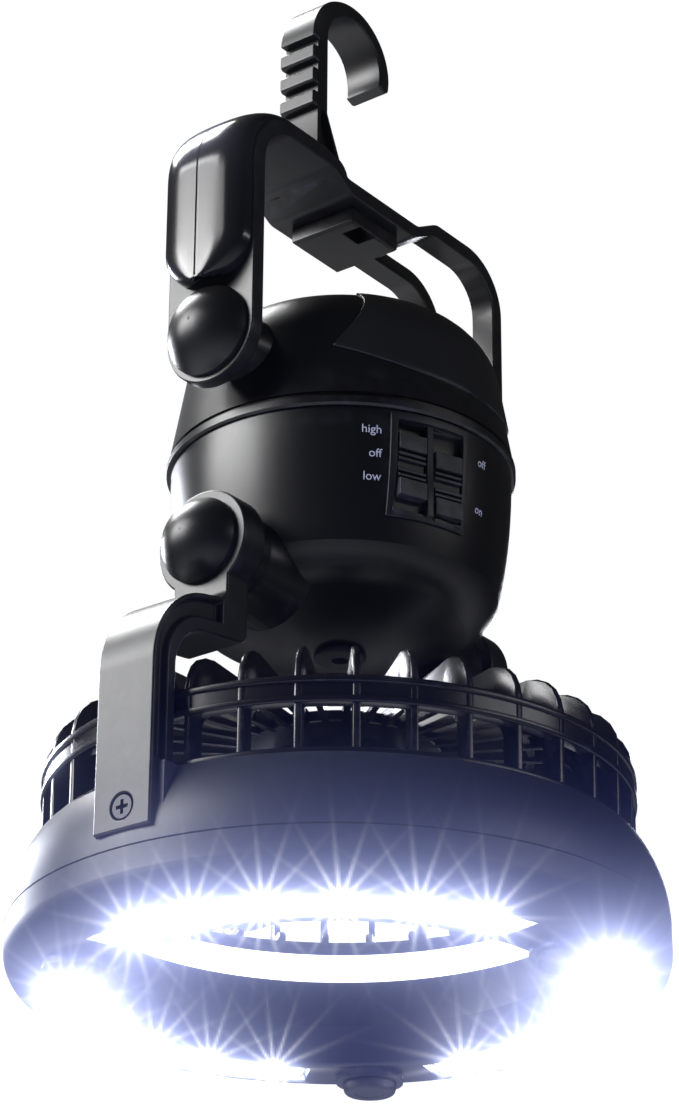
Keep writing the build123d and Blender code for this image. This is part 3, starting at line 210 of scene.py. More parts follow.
def add_plate(bm, outline, width, edge):
    """Adds a closed outline of (x, z) given a width along Y, with its edges rounded."""
    sides = [[bm.verts.new((x, y, z)) for x, z in outline] for y in (-width / 2, width / 2)]
    faces = [bm.faces.new(sides[0]), bm.faces.new(list(reversed(sides[1])))]
    rim = [e for f in faces for e in f.edges]
    for i in range(len(outline)):
        j = (i + 1) % len(outline)
        bm.faces.new((sides[0][j], sides[0][i], sides[1][i], sides[1][j]))
    bmesh.ops.bevel(bm, geom=rim, offset=edge, segments=2, profile=0.5, affect="EDGES", clamp_overlap=True)


def merged(bm):
    """Joins the doubles of a bmesh and drops the faces that closed up."""
    bmesh.ops.remove_doubles(bm, verts=bm.verts, dist=0.001 * MM)
    bmesh.ops.dissolve_degenerate(bm, edges=bm.edges, dist=0.001 * MM)
    return bm


# ------------------------------------------------------------------ node helpers
def add(tree, kind, **values):
    """A node with its settings; a key that is no property of the node sets or feeds an input socket."""
    node = tree.nodes.new(kind)
    for key, value in values.items():
        if hasattr(node, key):
            setattr(node, key, value)
        else:
            feed(tree, value, node.inputs[key.replace("_", " ")])
    return node


def feed(tree, value, socket):
    """Gives an input socket a value, or joins it to an output socket."""
    if isinstance(value, bpy.types.NodeSocket):
        tree.links.new(value, socket)
    else:
        socket.default_value = value


def calc(tree, operation, *values, **settings):
    """The result of a math node."""
    node = add(tree, "ShaderNodeMath", operation=operation, **settings)
    for value, socket in zip(values, node.inputs):
        feed(tree, value, socket)
    return node.outputs[0]


def ramp(tree, value, low=0.0, high=1.0, to_low=0.0, to_high=1.0):
    """A value carried from one range to another."""
    return add(tree, "ShaderNodeMapRange", Value=value, From_Min=low, From_Max=high,
               To_Min=to_low, To_Max=to_high).outputs[0]


def blend(tree, factor, first, second):
    """A mix of two colours."""
    node = add(tree, "ShaderNodeMix", data_type="RGBA", Factor=factor)
    feed(tree, first, node.inputs[6])
    feed(tree, second, node.inputs[7])
    return node.outputs[2]


def noise(tree, scale, detail, stretch=None):
    """Noise over the object's own coordinates."""
    where = add(tree, "ShaderNodeTexCoord").outputs["Object"]
    if stretch:
        where = add(tree, "ShaderNodeMapping", Vector=where, Scale=stretch).outputs[0]
    return add(tree, "ShaderNodeTexNoise", Vector=where, Scale=scale, Detail=detail).outputs["Fac"]


# ------------------------------------------------------------------ geometry nodes
def polar_array_tree():
    """Copies of a shape about Z, in equal groups."""
    tree = bpy.data.node_groups.new("polar_array", "GeometryNodeTree")
    for label, kind in (("Shape", "Geometry"), ("Count", "Int"), ("Step", "Float"), ("Start", "Float"),
                        ("Group Size", "Int"), ("Group Turn", "Float"), ("Finish", "Material")):
        tree.interface.new_socket(label, in_out="INPUT", socket_type="NodeSocket" + kind)
    tree.interface.new_socket("Shape", in_out="OUTPUT", socket_type="NodeSocketGeometry")
    given = tree.nodes.new("NodeGroupInput").outputs
    index = add(tree, "GeometryNodeInputIndex").outputs[0]
    within = calc(tree, "MODULO", index, given["Group Size"])
    group = calc(tree, "FLOOR", calc(tree, "DIVIDE", index, given["Group Size"]))
    first = calc(tree, "MULTIPLY_ADD", within, given["Step"], given["Start"])
    angle = calc(tree, "MULTIPLY_ADD", group, given["Group Turn"], first)
    points = add(tree, "GeometryNodePoints", Count=given["Count"])
    turn = add(tree, "ShaderNodeCombineXYZ", Z=angle)
    place = add(tree, "GeometryNodeInstanceOnPoints", Points=points.outputs[0], Instance=given["Shape"],
                Rotation=turn.outputs[0])
    real = add(tree, "GeometryNodeRealizeInstances", Geometry=place.outputs[0])
    finish = add(tree, "GeometryNodeSetMaterial", Geometry=real.outputs[0], Material=given["Finish"])
    add(tree, "NodeGroupOutput", Shape=finish.outputs[0])
    return tree


def polar_array(mesh, material, count, step, start=0.0, group_size=0, group_turn=0.0):
    """The mesh of a shape repeated about Z; the angles are in radians."""
    tree = bpy.data.node_groups.get("polar_array") or polar_array_tree()
    values = {"Count": count, "Step": step, "Start": start, "Group Size": group_size or count,
              "Group Turn": group_turn, "Finish": bpy.data.materials[material]}
    obj = link(bpy.data.objects.new("array", mesh))
    nodes = obj.modifiers.new("array", "NODES")
    nodes.node_group = tree
    for item in tree.interface.items_tree:
        if item.in_out == "INPUT" and item.name in values:
            nodes[item.identifier] = values[item.name]
    return plain(obj)


# ------------------------------------------------------------------ shader groups
def new_group(name, inputs, outputs):
    """A shader node group with named sockets: its tree, the sockets given to it and those it puts out."""
    group = bpy.data.node_groups.new(name, "ShaderNodeTree")
    kinds = {"c": "NodeSocketColor", "v": "NodeSocketFloat"}
    for label, kind, value in inputs:
        group.interface.new_socket(label, in_out="INPUT", socket_type=kinds[kind]).default_value = value
    for label, kind in outputs:
        group.interface.new_socket(label, in_out="OUTPUT", socket_type=kinds[kind])
    return group, group.nodes.new("NodeGroupInput").outputs, group.nodes.new("NodeGroupOutput").inputs


def moulded_grain_group():
    """Fine spark-eroded grain with slow waves under it, for bump and roughness."""
    tree, given, out = new_group(
        "moulded_grain",
        [("Frequency", "v", 2800.0), ("Depth", "v", 0.5), ("Roughness", "v", 0.35), ("Spread", "v", 0.08)],
        [("Height", "v"), ("Roughness", "v")])
    fine = noise(tree, given["Frequency"], 3.0)
    slow = noise(tree, 38.0, 3.0)
    grain = calc(tree, "MULTIPLY", fine, given["Depth"])
    feed(tree, calc(tree, "ADD", grain, calc(tree, "MULTIPLY", slow, 0.12)), out["Height"])
    spread = calc(tree, "MULTIPLY", calc(tree, "SUBTRACT", slow, 0.5), given["Spread"])
    feed(tree, calc(tree, "ADD", spread, given["Roughness"], use_clamp=True), out["Roughness"])


def edge_wear_group():
    """Mixes a rubbed colour in along outer edges, broken up by noise."""
    tree, given, out = new_group(
        "edge_wear",
        [("Colour", "c", (0.01, 0.01, 0.01, 1)), ("Rubbed", "c", (0.08, 0.08, 0.085, 1)),
         ("Amount", "v", 0.5)],
        [("Colour", "c")])
    outer = ramp(tree, add(tree, "ShaderNodeNewGeometry").outputs["Pointiness"], 0.52, 0.62)
    patches = ramp(tree, noise(tree, 240.0, 5.0), 0.42, 0.62)
    mask = calc(tree, "MULTIPLY", calc(tree, "MULTIPLY", outer, patches), given["Amount"])
    feed(tree, blend(tree, mask, given["Colour"], given["Rubbed"]), out["Colour"])


def fine_dust_group():
    """A faint film of dust that settles on faces that look up."""
    tree, given, out = new_group(
        "fine_dust",
        [("Colour", "c", (0.01, 0.01, 0.01, 1)), ("Dust", "c", (0.20, 0.19, 0.18, 1)), ("Amount", "v", 0.06)],
        [("Colour", "c")])
    facing = add(tree, "ShaderNodeSeparateXYZ", Vector=add(tree, "ShaderNodeNewGeometry").outputs["Normal"])
    up = ramp(tree, facing.outputs["Z"], 0.35, 1.0)
    mask = calc(tree, "MULTIPLY", calc(tree, "MULTIPLY", up, noise(tree, 420.0, 6.0)), given["Amount"])
    feed(tree, blend(tree, mask, given["Colour"], given["Dust"]), out["Colour"])


def use_group(tree, name, **values):
    """One use of a shader group in a material."""
    node = tree.nodes.new("ShaderNodeGroup")
    node.node_tree = bpy.data.node_groups[name]
    for key, value in values.items():
        feed(tree, value, node.inputs[key])
    return node.outputs


def blank_material(name):
    """A material that holds only a Principled shader, its tree and the shader's sockets."""
    material = bpy.data.materials.new(name)
    material.use_nodes = True
    tree = material.node_tree
    return material, tree, tree.nodes["Principled BSDF"].inputs


def relief(tree, height, strength, distance):
    """A normal pushed about by a height."""
    return add(tree, "ShaderNodeBump", Height=height, Strength=strength, Distance=distance).outputs["Normal"]


def moulded(name, colour, roughness, frequency, depth=0.5, bump=0.12, wear=0.5, dust=0.05, coat=0.0):
    """A moulded plastic or rubber: grain, worn edges, a little dust and an optional gloss coat."""
    _, tree, shader = blank_material(name)
    grain = use_group(tree, "moulded_grain", Frequency=frequency, Depth=depth, Roughness=roughness,
                      Spread=0.08)
    edges = use_group(tree, "edge_wear", Colour=(*colour, 1), Rubbed=(0.07, 0.07, 0.075, 1), Amount=wear)
    film = use_group(tree, "fine_dust", Colour=edges["Colour"], Amount=dust)
    feed(tree, film["Colour"], shader["Base Color"])
    feed(tree, grain["Roughness"], shader["Roughness"])
    feed(tree, relief(tree, grain["Height"], bump, 0.2 * MM), shader["Normal"])
    shader["Coat Weight"].default_value = coat
    shader["Coat Roughness"].default_value = 0.12


def metal(name, colour, roughness):
    """A plated metal with fine brushing."""
    _, tree, shader = blank_material(name)
    lines = noise(tree, 900.0, 4.0, stretch=(1, 1, 14))
    feed(tree, ramp(tree, lines, to_low=roughness * 0.75, to_high=roughness * 1.3), shader["Roughness"])
    feed(tree, relief(tree, lines, 0.08, 0.1 * MM), shader["Normal"])
    feed(tree, blend(tree, lines, (*colour, 1), (*[c * 0.8 for c in colour], 1)), shader["Base Color"])
    shader["Metallic"].default_value = 1.0


def lamp(name, colour, strength):
    """A part that gives light, a little uneven over its surface: the lamps, and the duct collar, which is no
    lamp and glows as painted light.
    """
    material, tree, shader = blank_material(name)
    mottle = noise(tree, 320.0, 2.0)
    feed(tree, blend(tree, mottle, (*colour, 1), (*[c * 0.85 for c in colour], 1)), shader["Emission Color"])
    shader["Emission Strength"].default_value = strength
    shader["Base Color"].default_value = (0.9, 0.92, 1.0, 1)
    shader["Roughness"].default_value = 0.2
    return material


def clear_plastic(name):
    """Clear window with a faint moulded ripple."""
    _, tree, shader = blank_material(name)
    feed(tree, relief(tree, noise(tree, 220.0, 2.0), 0.05, 0.2 * MM), shader["Normal"])
    shader["Base Color"].default_value = (0.94, 0.96, 1.0, 1)
    shader["Roughness"].default_value = 0.06
    shader["Alpha"].default_value = 0.18


# frame nodes, and the finish they all get
FRAME_MATERIALS = [
    ("barrel cover handle_frame hook hook_housing yoke_arm_left yoke_arm_right", "black_housing"),
    # painted light: the duct collar glows though it is no lamp
    ("duct_collar", "painted_glow_collar"),
    ("lower_cap_left lower_cap_right upper_cap_left upper_cap_right", "black_gloss"),
    ("bezel shell", "head_housing"),
    ("cage", "cage_plastic"),
    ("rotor", "rotor_plastic"),
    ("grip_pad", "grip_rubber"),
    ("foot_1 foot_2 foot_3 grommet", "foot_rubber"),
    ("badge_panel", "badge_plate"),
    ("switch_panel fan_knob light_knob", "switch_plastic"),
    ("board_posts cell_cradle top_plate lower_washers upper_washers", "nylon"),
    ("led_board switch_board", "board_laminate"),
    ("cell_1 cell_2", "cell_jacket"),
    ("board_screws motor_shaft yoke_nuts lower_pivot_screws upper_pivot_screws hook_pin", "plated_steel"),
    ("fan_switch_body light_switch_body", "plated_steel"),
    ("yoke_screws", "dark_screw"),
    ("motor", "motor_can"),
    ("lower_contacts top_contact", "contact_metal"),
    ("reflector_1 reflector_2 reflector_3", "lit_reflector"),
    ("leds", "lit_lamp"),
    ("lens_1 lens_2 lens_3", "clear_window"),
]


class FAN_OT_materials(Operator):
    """Makes the shader groups and the materials, and gives each frame part its own"""
    bl_idname = "camping_fan.materials"
    bl_label = "Materials"

    def execute(self, context):
        look = context.scene.fan_finish
        for plain_one in list(bpy.data.materials):
            bpy.data.materials.remove(plain_one)
        moulded_grain_group()
        edge_wear_group()
        fine_dust_group()
        grain = 1.0 / look.grain_size
        shell = tuple(look.shell_colour)
        moulded("black_housing", shell, look.shell_roughness, grain, bump=0.14)
        # painted light: the arms get the shell black made 1.3 times lighter, standing in for the softbox
        # light on their outer faces
        moulded("arm_painted_light_plastic", tuple(1.3 * c for c in shell), 0.36, grain, bump=0.16, wear=0.6)
        moulded("black_gloss", shell, 0.34, grain * 0.8, depth=0.3, bump=0.08, wear=0.2)
        moulded("head_housing", tuple(look.head_charcoal_and_glow), 0.42, grain, bump=0.16, wear=0.5)
        moulded("cage_plastic", tuple(0.9 * c for c in shell), 0.27, grain, bump=0.08, wear=0.3)
        moulded("rotor_plastic", (0.012, 0.012, 0.014), 0.28, grain, bump=0.05, wear=0.3)
        moulded("grip_rubber", (0.011, 0.011, 0.012), 0.17, grain, depth=0.3, bump=0.06, wear=0.25)
        moulded("foot_rubber", tuple(look.rubber_colour), 0.55, grain * 0.7, bump=0.3, wear=0.2)
        moulded("badge_plate", tuple(look.badge_colour), 0.36, grain, bump=0.04, wear=0.0)
        moulded("switch_plastic", (0.014, 0.014, 0.015), 0.42, grain, bump=0.12, wear=0.8)
        moulded("nylon", (0.62, 0.61, 0.57), 0.45, grain, bump=0.08, wear=0.0)
        moulded("board_laminate", (0.02, 0.11, 0.05), 0.35, grain * 0.5, bump=0.05, wear=0.0)
        moulded("legend_ink", tuple(look.legend_colour), 0.5, grain * 2, bump=0.05, wear=0.0, dust=0.0)
        moulded("cell_jacket", (0.05, 0.06, 0.09), 0.25, grain, bump=0.03, wear=0.2, coat=0.4)
        metal("plated_steel", (0.52, 0.52, 0.53), 0.28)
        metal("dark_screw", (0.045, 0.045, 0.05), 0.34)
        metal("motor_can", (0.58, 0.58, 0.59), 0.22)
        metal("contact_metal", (0.75, 0.72, 0.62), 0.2)
        # painted light: the duct collar is no lamp; its glow paints the white band seen through the cage
        lamp("painted_glow_collar", (0.90, 0.92, 1.0), 1.7)
        lamp("lit_reflector", tuple(look.lamp_colour), 9.0)
        lamp("lit_lamp", (1, 1, 1), 22.0)
        chip = lamp("lit_chip", (1, 1, 1), 260.0)
        chip.cycles.emission_sampling = "NONE"
        clear_plastic("clear_window")
        for names, material in FRAME_MATERIALS:
            for name in names.split():
                mesh = NODES[name].data
                mesh.materials.clear()
                mesh.materials.append(bpy.data.materials[material])
        bare = [name for name, obj in NODES.items() if not obj.data.materials]
        if bare:
            raise RuntimeError(f"no finish for {bare}")
        return {"FINISHED"}


# ------------------------------------------------------------------ moulded parts with rounded edges
# node, material, slot, and radius of its edges in millimetres
ROUNDED = [
    ("handle_frame", "black_housing", "shell_plastic", 0.40),
    ("hook_housing", "black_housing", "shell_plastic", 0.20),
    ("yoke_arm_left", "arm_painted_light_plastic", "shell_plastic", 0.55),
    ("yoke_arm_right", "arm_painted_light_plastic", "shell_plastic", 0.55),
    ("switch_panel", "switch_plastic", "switch_plastic", 0.18),
    ("fan_knob", "switch_plastic", "switch_plastic", 0.15),
    ("light_knob", "switch_plastic", "switch_plastic", 0.15),
]


class FAN_OT_rounded(Operator):
    """Rounds the hard edges of the handle, hook housing, arms and switches as a mould does"""
    bl_idname = "camping_fan.rounded"
    bl_label = "Rounded edges"
    hard: FloatProperty(name="Hard edge", description="Edges that bend more than this are rounded",
                        subtype="ANGLE", default=radians(30))
    room_wall: FloatProperty(name="Room wall", description="From the hinge pin's end in to the hook's room",
                             subtype="DISTANCE", unit="LENGTH", default=2.5 * MM)
    room_near: FloatProperty(name="Room near", description="Reach of the room before the hinge pin",
                             subtype="DISTANCE", unit="LENGTH", default=5 * MM)
    room_far: FloatProperty(name="Room far", description="Reach of the room behind the hinge pin",
                            subtype="DISTANCE", unit="LENGTH", default=20 * MM)

    def execute(self, context):
        for node, material, slot, radius in ROUNDED:
            bm = bmesh.new()
            bm.from_mesh(NODES[node].data)
            bmesh.ops.remove_doubles(bm, verts=bm.verts, dist=0.002 * MM)
            bmesh.ops.dissolve_limit(bm, angle_limit=radians(1), verts=bm.verts, edges=bm.edges)
            edges = [e for e in bm.edges if e.is_manifold and e.calc_face_angle(0) > self.hard
                     and (e.is_convex or node.startswith("yoke_arm"))
                     and not (node == "handle_frame" and self.in_room(e))]
            bmesh.ops.bevel(bm, geom=edges, offset=radius * MM, segments=2, profile=0.5, affect="EDGES")
            mesh = even_shading(mesh_from(bm, node, sharp_angle=radians(50)))
            piece(node + "_rounded", mesh, material, NODES[node]["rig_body"], slot, node)
        return {"FINISHED"}

    def in_room(self, edge):
        """Whether an edge lies in the thin-walled room that the hook folds into."""
        low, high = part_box("hook_pin")
        middle = (edge.verts[0].co + edge.verts[1].co) / 2
        return (abs(middle.y) < high.y - self.room_wall
                and low.x - self.room_near < middle.x < high.x + self.room_far)


# ------------------------------------------------------------------ hook
class FAN_OT_hook(Operator):
    """Moulds the folding hook: its flat sides with rounded edges, and the pocket in each of them"""
    bl_idname = "camping_fan.hook"
    bl_label = "Hook"
    edge: FloatProperty(name="Edge", description="Radius of the rounded edges", subtype="DISTANCE",
                        unit="LENGTH", default=0.4 * MM, min=0.05 * MM, max=2 * MM)

    def execute(self, context):
        low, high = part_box("hook")
        outlines, pockets = self.outlines(low)
        curve = bpy.data.curves.new("hook", "CURVE")
        curve.dimensions, curve.fill_mode = "2D", "BOTH"
        curve.extrude = (high.y - low.y) / 2 - self.edge
        curve.bevel_depth, curve.bevel_resolution, curve.offset = self.edge, 1, -self.edge
        for outline in outlines:
            spline = curve.splines.new("POLY")
            spline.points.add(len(outline) - 1)
            for point, (x, z) in zip(spline.points, outline):
                point.co = (x, z, 0, 1)
            spline.use_cyclic_u = True
        bm = bmesh.new()
        flat = plain(link(bpy.data.objects.new("hook", curve)))
        bm.from_mesh(flat)
        bpy.data.meshes.remove(flat)
        for vert in bm.verts:
            vert.co = (vert.co.x, vert.co.z, vert.co.y)
        solid = link(bpy.data.objects.new("solid", mesh_from(merged(bm), "solid")))
        cutter = bmesh.new()
        for outline, floor in pockets:
            for near, far in ((low.y - MM, floor), (-low.y + MM, -floor)):
                ends = [[cutter.verts.new((x, y, z)) for x, z in outline] for y in (near, far)]
                cutter.faces.new(ends[0])
                cutter.faces.new(list(reversed(ends[1])))
                for i in range(len(outline)):
                    cutter.faces.new((ends[0][i], ends[1][i], ends[1][i - 1], ends[0][i - 1]))
        room = link(bpy.data.objects.new("pockets", mesh_from(cutter, "pockets", smooth=False)))
        cut = solid.modifiers.new("pockets", "BOOLEAN")
        cut.object, cut.operation, cut.solver = room, "DIFFERENCE", "EXACT"
        mesh = plain(solid)
        bpy.data.objects.remove(room)
        bm = bmesh.new()
        bm.from_mesh(mesh)
        mesh = even_shading(mesh_from(merged(bm), "hook", sharp_angle=radians(50)))
        piece("hook_rounded", mesh, "black_gloss", "hook", "shell_plastic", "hook")
        return {"FINISHED"}

    def outlines(self, low):
        """Outlines of one flat side as (x, z): those that go through, and the pockets with their floors."""
        bm = bmesh.new()
        bm.from_mesh(NODES["hook"].data)
        bmesh.ops.remove_doubles(bm, verts=bm.verts, dist=0.002 * MM)
        rim = [e for e in bm.edges if max(v.co.y for v in e.verts) < low.y + 0.01 * MM
               and sum(abs(f.normal.y) > 0.99 for f in e.link_faces) == 1]
        through, pockets = [], []
        while rim:
            edge = rim.pop()
            loop = list(edge.verts)
            while loop[-1] is not loop[0]:
                edge = next(e for e in loop[-1].link_edges if e in rim)
                rim.remove(edge)
                loop.append(edge.other_vert(loop[-1]))
            outline = [(v.co.x, v.co.z) for v in loop[:-1]]
            far = max(e.other_vert(loop[0]).co.y for e in loop[0].link_edges)
            if far < 0:
                pockets.append((outline, far))
            else:
                through.append(outline)
        bm.free()
        return through, pockets


# ------------------------------------------------------------------ grip pad
class FAN_OT_grip(Operator):
    """Moulds the soft grip over the corner of the handle, with its centre parting line"""
    bl_idname = "camping_fan.grip"
    bl_label = "Grip pad"
    width: FloatProperty(name="Width", description="Across the handle", subtype="DISTANCE", unit="LENGTH",
                         default=24.8 * MM)
    squareness: FloatProperty(name="Squareness", description="Power of the rounded section; 2 is an ellipse",
                              default=2.7, min=2, max=8)
    round_end: FloatProperty(name="Round end", description="Height of the rounded lower end",
                             subtype="DISTANCE", unit="LENGTH", default=11.5 * MM)
    bend: FloatProperty(name="Bend", description="Radius of the handle's corner", subtype="DISTANCE",
                        unit="LENGTH", default=20.0 * MM)
    line: FloatProperty(name="Parting line", description="Half width and depth of the centre line",
                        subtype="DISTANCE", unit="LENGTH", default=0.26 * MM)

    def execute(self, context):
        low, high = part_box("grip_pad")
        centre = Vector((low.x + self.bend, 0, high.z - self.bend))
        # rows of sections: up the rounded end, up the side, round the corner and along the top
        rows = []
        for k in range(13):
            rise = self.round_end * (1 - cos(radians(7.5 * k + 0.6)))
            rows.append((Vector((low.x, 0, low.z + min(rise, self.round_end))), Vector((-1, 0, 0))))
        for k in range(1, 8):
            height = low.z + self.round_end + (centre.z - low.z - self.round_end) * k / 8
            rows.append((Vector((low.x, 0, height)), Vector((-1, 0, 0))))
        for k in range(17):
            out = Vector((-cos(radians(90 * k / 16)), 0, sin(radians(90 * k / 16))))
            rows.append((centre + out * self.bend, out))
        run = high.x - centre.x
        for k in range(1, 17):
            rows.append((Vector((centre.x + run * sin(radians(90 * k / 16)), 0, high.z)), Vector((0, 0, 1))))
        handle = NODES["handle_frame"].data
        core = BVHTree.FromPolygons([v.co for v in handle.vertices], [f.vertices for f in handle.polygons])
        bm = bmesh.new()
        rings = [self.section(bm, core, spot, out, low, high) for spot, out in rows]
        for here, there in zip(rings, rings[1:]):
            for i in range(len(here)):
                j = (i + 1) % len(here)
                bm.faces.new((here[i], here[j], there[j], there[i]))
        bm.faces.new(rings[0])
        bm.faces.new(list(reversed(rings[-1])))
        pad = link(bpy.data.objects.new("pad", mesh_from(merged(bm), "pad")))
        cutter = bmesh.new()
        bmesh.ops.create_cube(cutter, size=1.0)
        pin_low, pin_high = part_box("hook_pin")
        span = Vector((30 * MM, pin_high.y - pin_low.y + 0.6 * MM, 30 * MM))
        bmesh.ops.scale(cutter, verts=cutter.verts, vec=span)
        bmesh.ops.translate(cutter, verts=cutter.verts, vec=(pin_low.x - 7.5 * MM + span.x / 2, 0, pin_low.z))
        notch = link(bpy.data.objects.new("notch", mesh_from(cutter, "notch", smooth=False)))
        cut = pad.modifiers.new("notch", "BOOLEAN")
        cut.object, cut.operation, cut.solver = notch, "DIFFERENCE", "EXACT"
        mesh = plain(pad)
        bpy.data.objects.remove(notch)
        for face in mesh.polygons:
            face.use_smooth = True
        mesh.set_sharp_from_angle(angle=radians(35))
        piece("grip_sleeve", mesh, "grip_rubber", "handle", "grip_rubber", "grip_pad")
        return {"FINISHED"}

    def section(self, bm, core, spot, out, low, high):
        """One D-shaped section: flat on the handle, crowned outside, with a groove at its middle."""
        half = self.width / 2
        hit = core.ray_cast(spot + Vector((0, half * 0.93, 0)) + out * MM, -out)[3]
        depth = (hit or 3 * MM) - MM
        climb = (spot.z - low.z) / self.round_end
        if climb < 1:
            half *= sqrt(1 - (1 - climb) ** 2)
            depth *= min(1, sqrt(1 - max(0, 1 - climb * 3) ** 2))
        left = (high.x - spot.x) / (5 * MM)
        base = depth
        if left < 1 and out.z > 0.9:
            base = depth * sqrt(1 - (1 - left) ** 2) + 0.01 * MM
        side = []
        for k in range(14):
            a = radians(90 * k / 14.0)
            y = half * cos(a) ** (2 / self.squareness)
            if y > self.line * 3:
                side.append((y, base * sin(a) ** (2 / self.squareness)))
        groove = min(self.line, base * 0.3)
        profile = [(half, -0.12 * MM)] + side + [(self.line, base), (0, base - groove), (-self.line, base)]
        profile += [(-y, h) for y, h in reversed(side)] + [(-half, -0.12 * MM)]
        return [bm.verts.new(spot - out * (depth - h) + Vector((0, y, 0))) for y, h in profile]


# ------------------------------------------------------------------ badge plate
class FAN_OT_badge(Operator):
    """Lays the bare badge plate on the dome"""
    bl_idname = "camping_fan.badge"
    bl_label = "Badge plate"
    proud: FloatProperty(name="Proud", description="How far the plate stands off the dome",
                         subtype="DISTANCE", unit="LENGTH", default=0.55 * MM)
    upper_half: FloatProperty(name="Upper half width", description="Half the width of the upper edge",
                              subtype="DISTANCE", unit="LENGTH", default=22.5 * MM)
    belly: FloatProperty(name="Belly", description="How far the lower edge bows down in the middle",
                         subtype="DISTANCE", unit="LENGTH", default=6.2 * MM)

    def execute(self, context):
        cover = NODES["cover"].data
        dome = BVHTree.FromPolygons([v.co for v in cover.vertices], [f.vertices for f in cover.polygons])
        low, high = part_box("badge_panel")

        def reach(z):
            """The radius of the dome at a height."""
            hit = dome.ray_cast(Vector((0, -0.2, z)), Vector((0, 1, 0)))[0]
            return -hit.y

        across, up = 48, 18
        bm = bmesh.new()
        skins = []
        for lift in (self.proud, -0.1 * MM):
            rows = []
            for j in range(up + 1):
                v = j / up
                row = []
                for i in range(across + 1):
                    u = 2 * i / across - 1
                    x = u * (high.x + (self.upper_half - high.x) * v)
                    foot = low.z - self.belly * (1 - abs(u) ** 3)
                    z = foot + (high.z - 0.1 * MM - foot) * v
                    r = reach(z)
                    slope = (reach(z + 1.5 * MM) - reach(z - 1.5 * MM)) / (3 * MM)
                    flat = Vector((x / r, -sqrt(max(0, 1 - (x / r) ** 2)), 0))
                    out = (flat - Vector((0, 0, slope))).normalized()
                    row.append(bm.verts.new(flat * r + Vector((0, 0, z)) + out * lift))
                rows.append(row)
            skins.append(rows)
        for rows in skins:
            for a, b in zip(rows, rows[1:]):
                for i in range(across):
                    bm.faces.new((a[i], a[i + 1], b[i + 1], b[i]))
        outer, inner = [self.border(rows) for rows in skins]
        rim = []
        for i in range(len(outer)):
            j = (i + 1) % len(outer)
            face = bm.faces.new((outer[i], outer[j], inner[j], inner[i]))
            rim.append(next(e for e in face.edges if set(e.verts) == {outer[i], outer[j]}))
        bmesh.ops.bevel(bm, geom=rim, offset=0.25 * MM, segments=2, profile=0.5, affect="EDGES")
        mesh = mesh_from(bm, "badge_plate", sharp_angle=radians(50))
        piece("badge_plate", mesh, "badge_plate", "top_cover", "badge_plastic", "badge_panel")
        return {"FINISHED"}

    def border(self, rows):
        """The outline vertices of a grid, in order."""
        return (rows[0] + [r[-1] for r in rows[1:]] + list(reversed(rows[-1][:-1]))
                + [r[0] for r in reversed(rows[1:-1])])


# ------------------------------------------------------------------ cage
class FAN_OT_cage(Operator):
    """Builds the fan cage: rounded fins about the axis, with the band, rings and hub that hold them"""
    bl_idname = "camping_fan.cage"
    bl_label = "Fan cage"
    fins: IntProperty(name="Fins", description="Number of fins", default=34, min=3, max=120)
    phase: FloatProperty(name="Phase", description="Angle of the first fin", subtype="ANGLE",
                         default=radians(8.6))
    thickness: FloatProperty(name="Thickness", description="Of one fin", subtype="DISTANCE", unit="LENGTH",
                             default=1.6 * MM)
    corner: FloatProperty(name="Corner", description="Radius of a fin's upper corner", subtype="DISTANCE",
                          unit="LENGTH", default=9.5 * MM)

    def execute(self, context):
        low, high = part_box("cage")
        # in millimetres, as eased takes them
        r, foot, top = (high.x - 0.5 * MM) / MM, low.z / MM, high.z / MM
        band, band_top, plate, inner, root = 49.5, 55.9, 3, r - 13.5, r - 11.2
        fin = bmesh.new()
        add_plate(fin, eased([(r, foot, 0), (r, top, self.corner / MM), (23, top, 0), (23, top - plate, 0.6),
                              (inner, top - 4, 4.0), (inner, band_top, 1.5), (r - 5, band, 2.0),
                              (r - 5, foot + 2.6, 0.8), (root, foot + 2.6, 1.1), (root, foot, 0)], 5),
                  self.thickness, 0.4 * MM)
        fins = polar_array(mesh_from(fin, "fin"), "cage_plastic", self.fins, 2 * pi / self.fins, self.phase)
        bm = bmesh.new()
        bm.from_mesh(fins)
        bpy.data.meshes.remove(fins)
        rings = bmesh.new()
        for outline in (
                [(r - 3, band, 0.4), (r + 0.5, band, 0.5), (r + 0.5, band + 1.5, 0.25),
                 (r - 0.1, band + 1.7, 0), (r - 0.1, band_top - 1.7, 0), (r + 0.5, band_top - 1.5, 0.25),
                 (r + 0.5, band_top, 0.5), (r - 3, band_top, 0.4)],
                [(r - 6.6, foot, 0.2), (r + 0.3, foot, 0.2), (r + 0.3, foot + 1.8, 0.5),
                 (r - 6.6, foot + 1.8, 0.5)],
                [(44, top - plate, 0.5), (46.4, top - plate, 0.5), (46.4, top, 0.5), (44, top, 0.5)],
                [(0, top - plate, 0), (25, top - plate, 0.5), (25, top, 0.8), (20.4, top, 0.2),
                 (20.2, top - 0.5, 0), (19.4, top - 0.5, 0), (19.2, top, 0.2), (0, top, 0)],
                [(13.9, 51, 0.3), (16, 51, 0.5), (16, top - 2.5, 0), (13.9, top - 2.5, 0)]):
            add_lathe(rings, eased(outline))
        whole = mesh_from(merged(rings), "rings")
        bm.from_mesh(whole)
        bpy.data.meshes.remove(whole)
        mesh = mesh_from(bm, "cage", sharp_angle=radians(45))
        piece("cage_fins", mesh, "cage_plastic", "head", "cage_plastic", "cage")
        return {"FINISHED"}


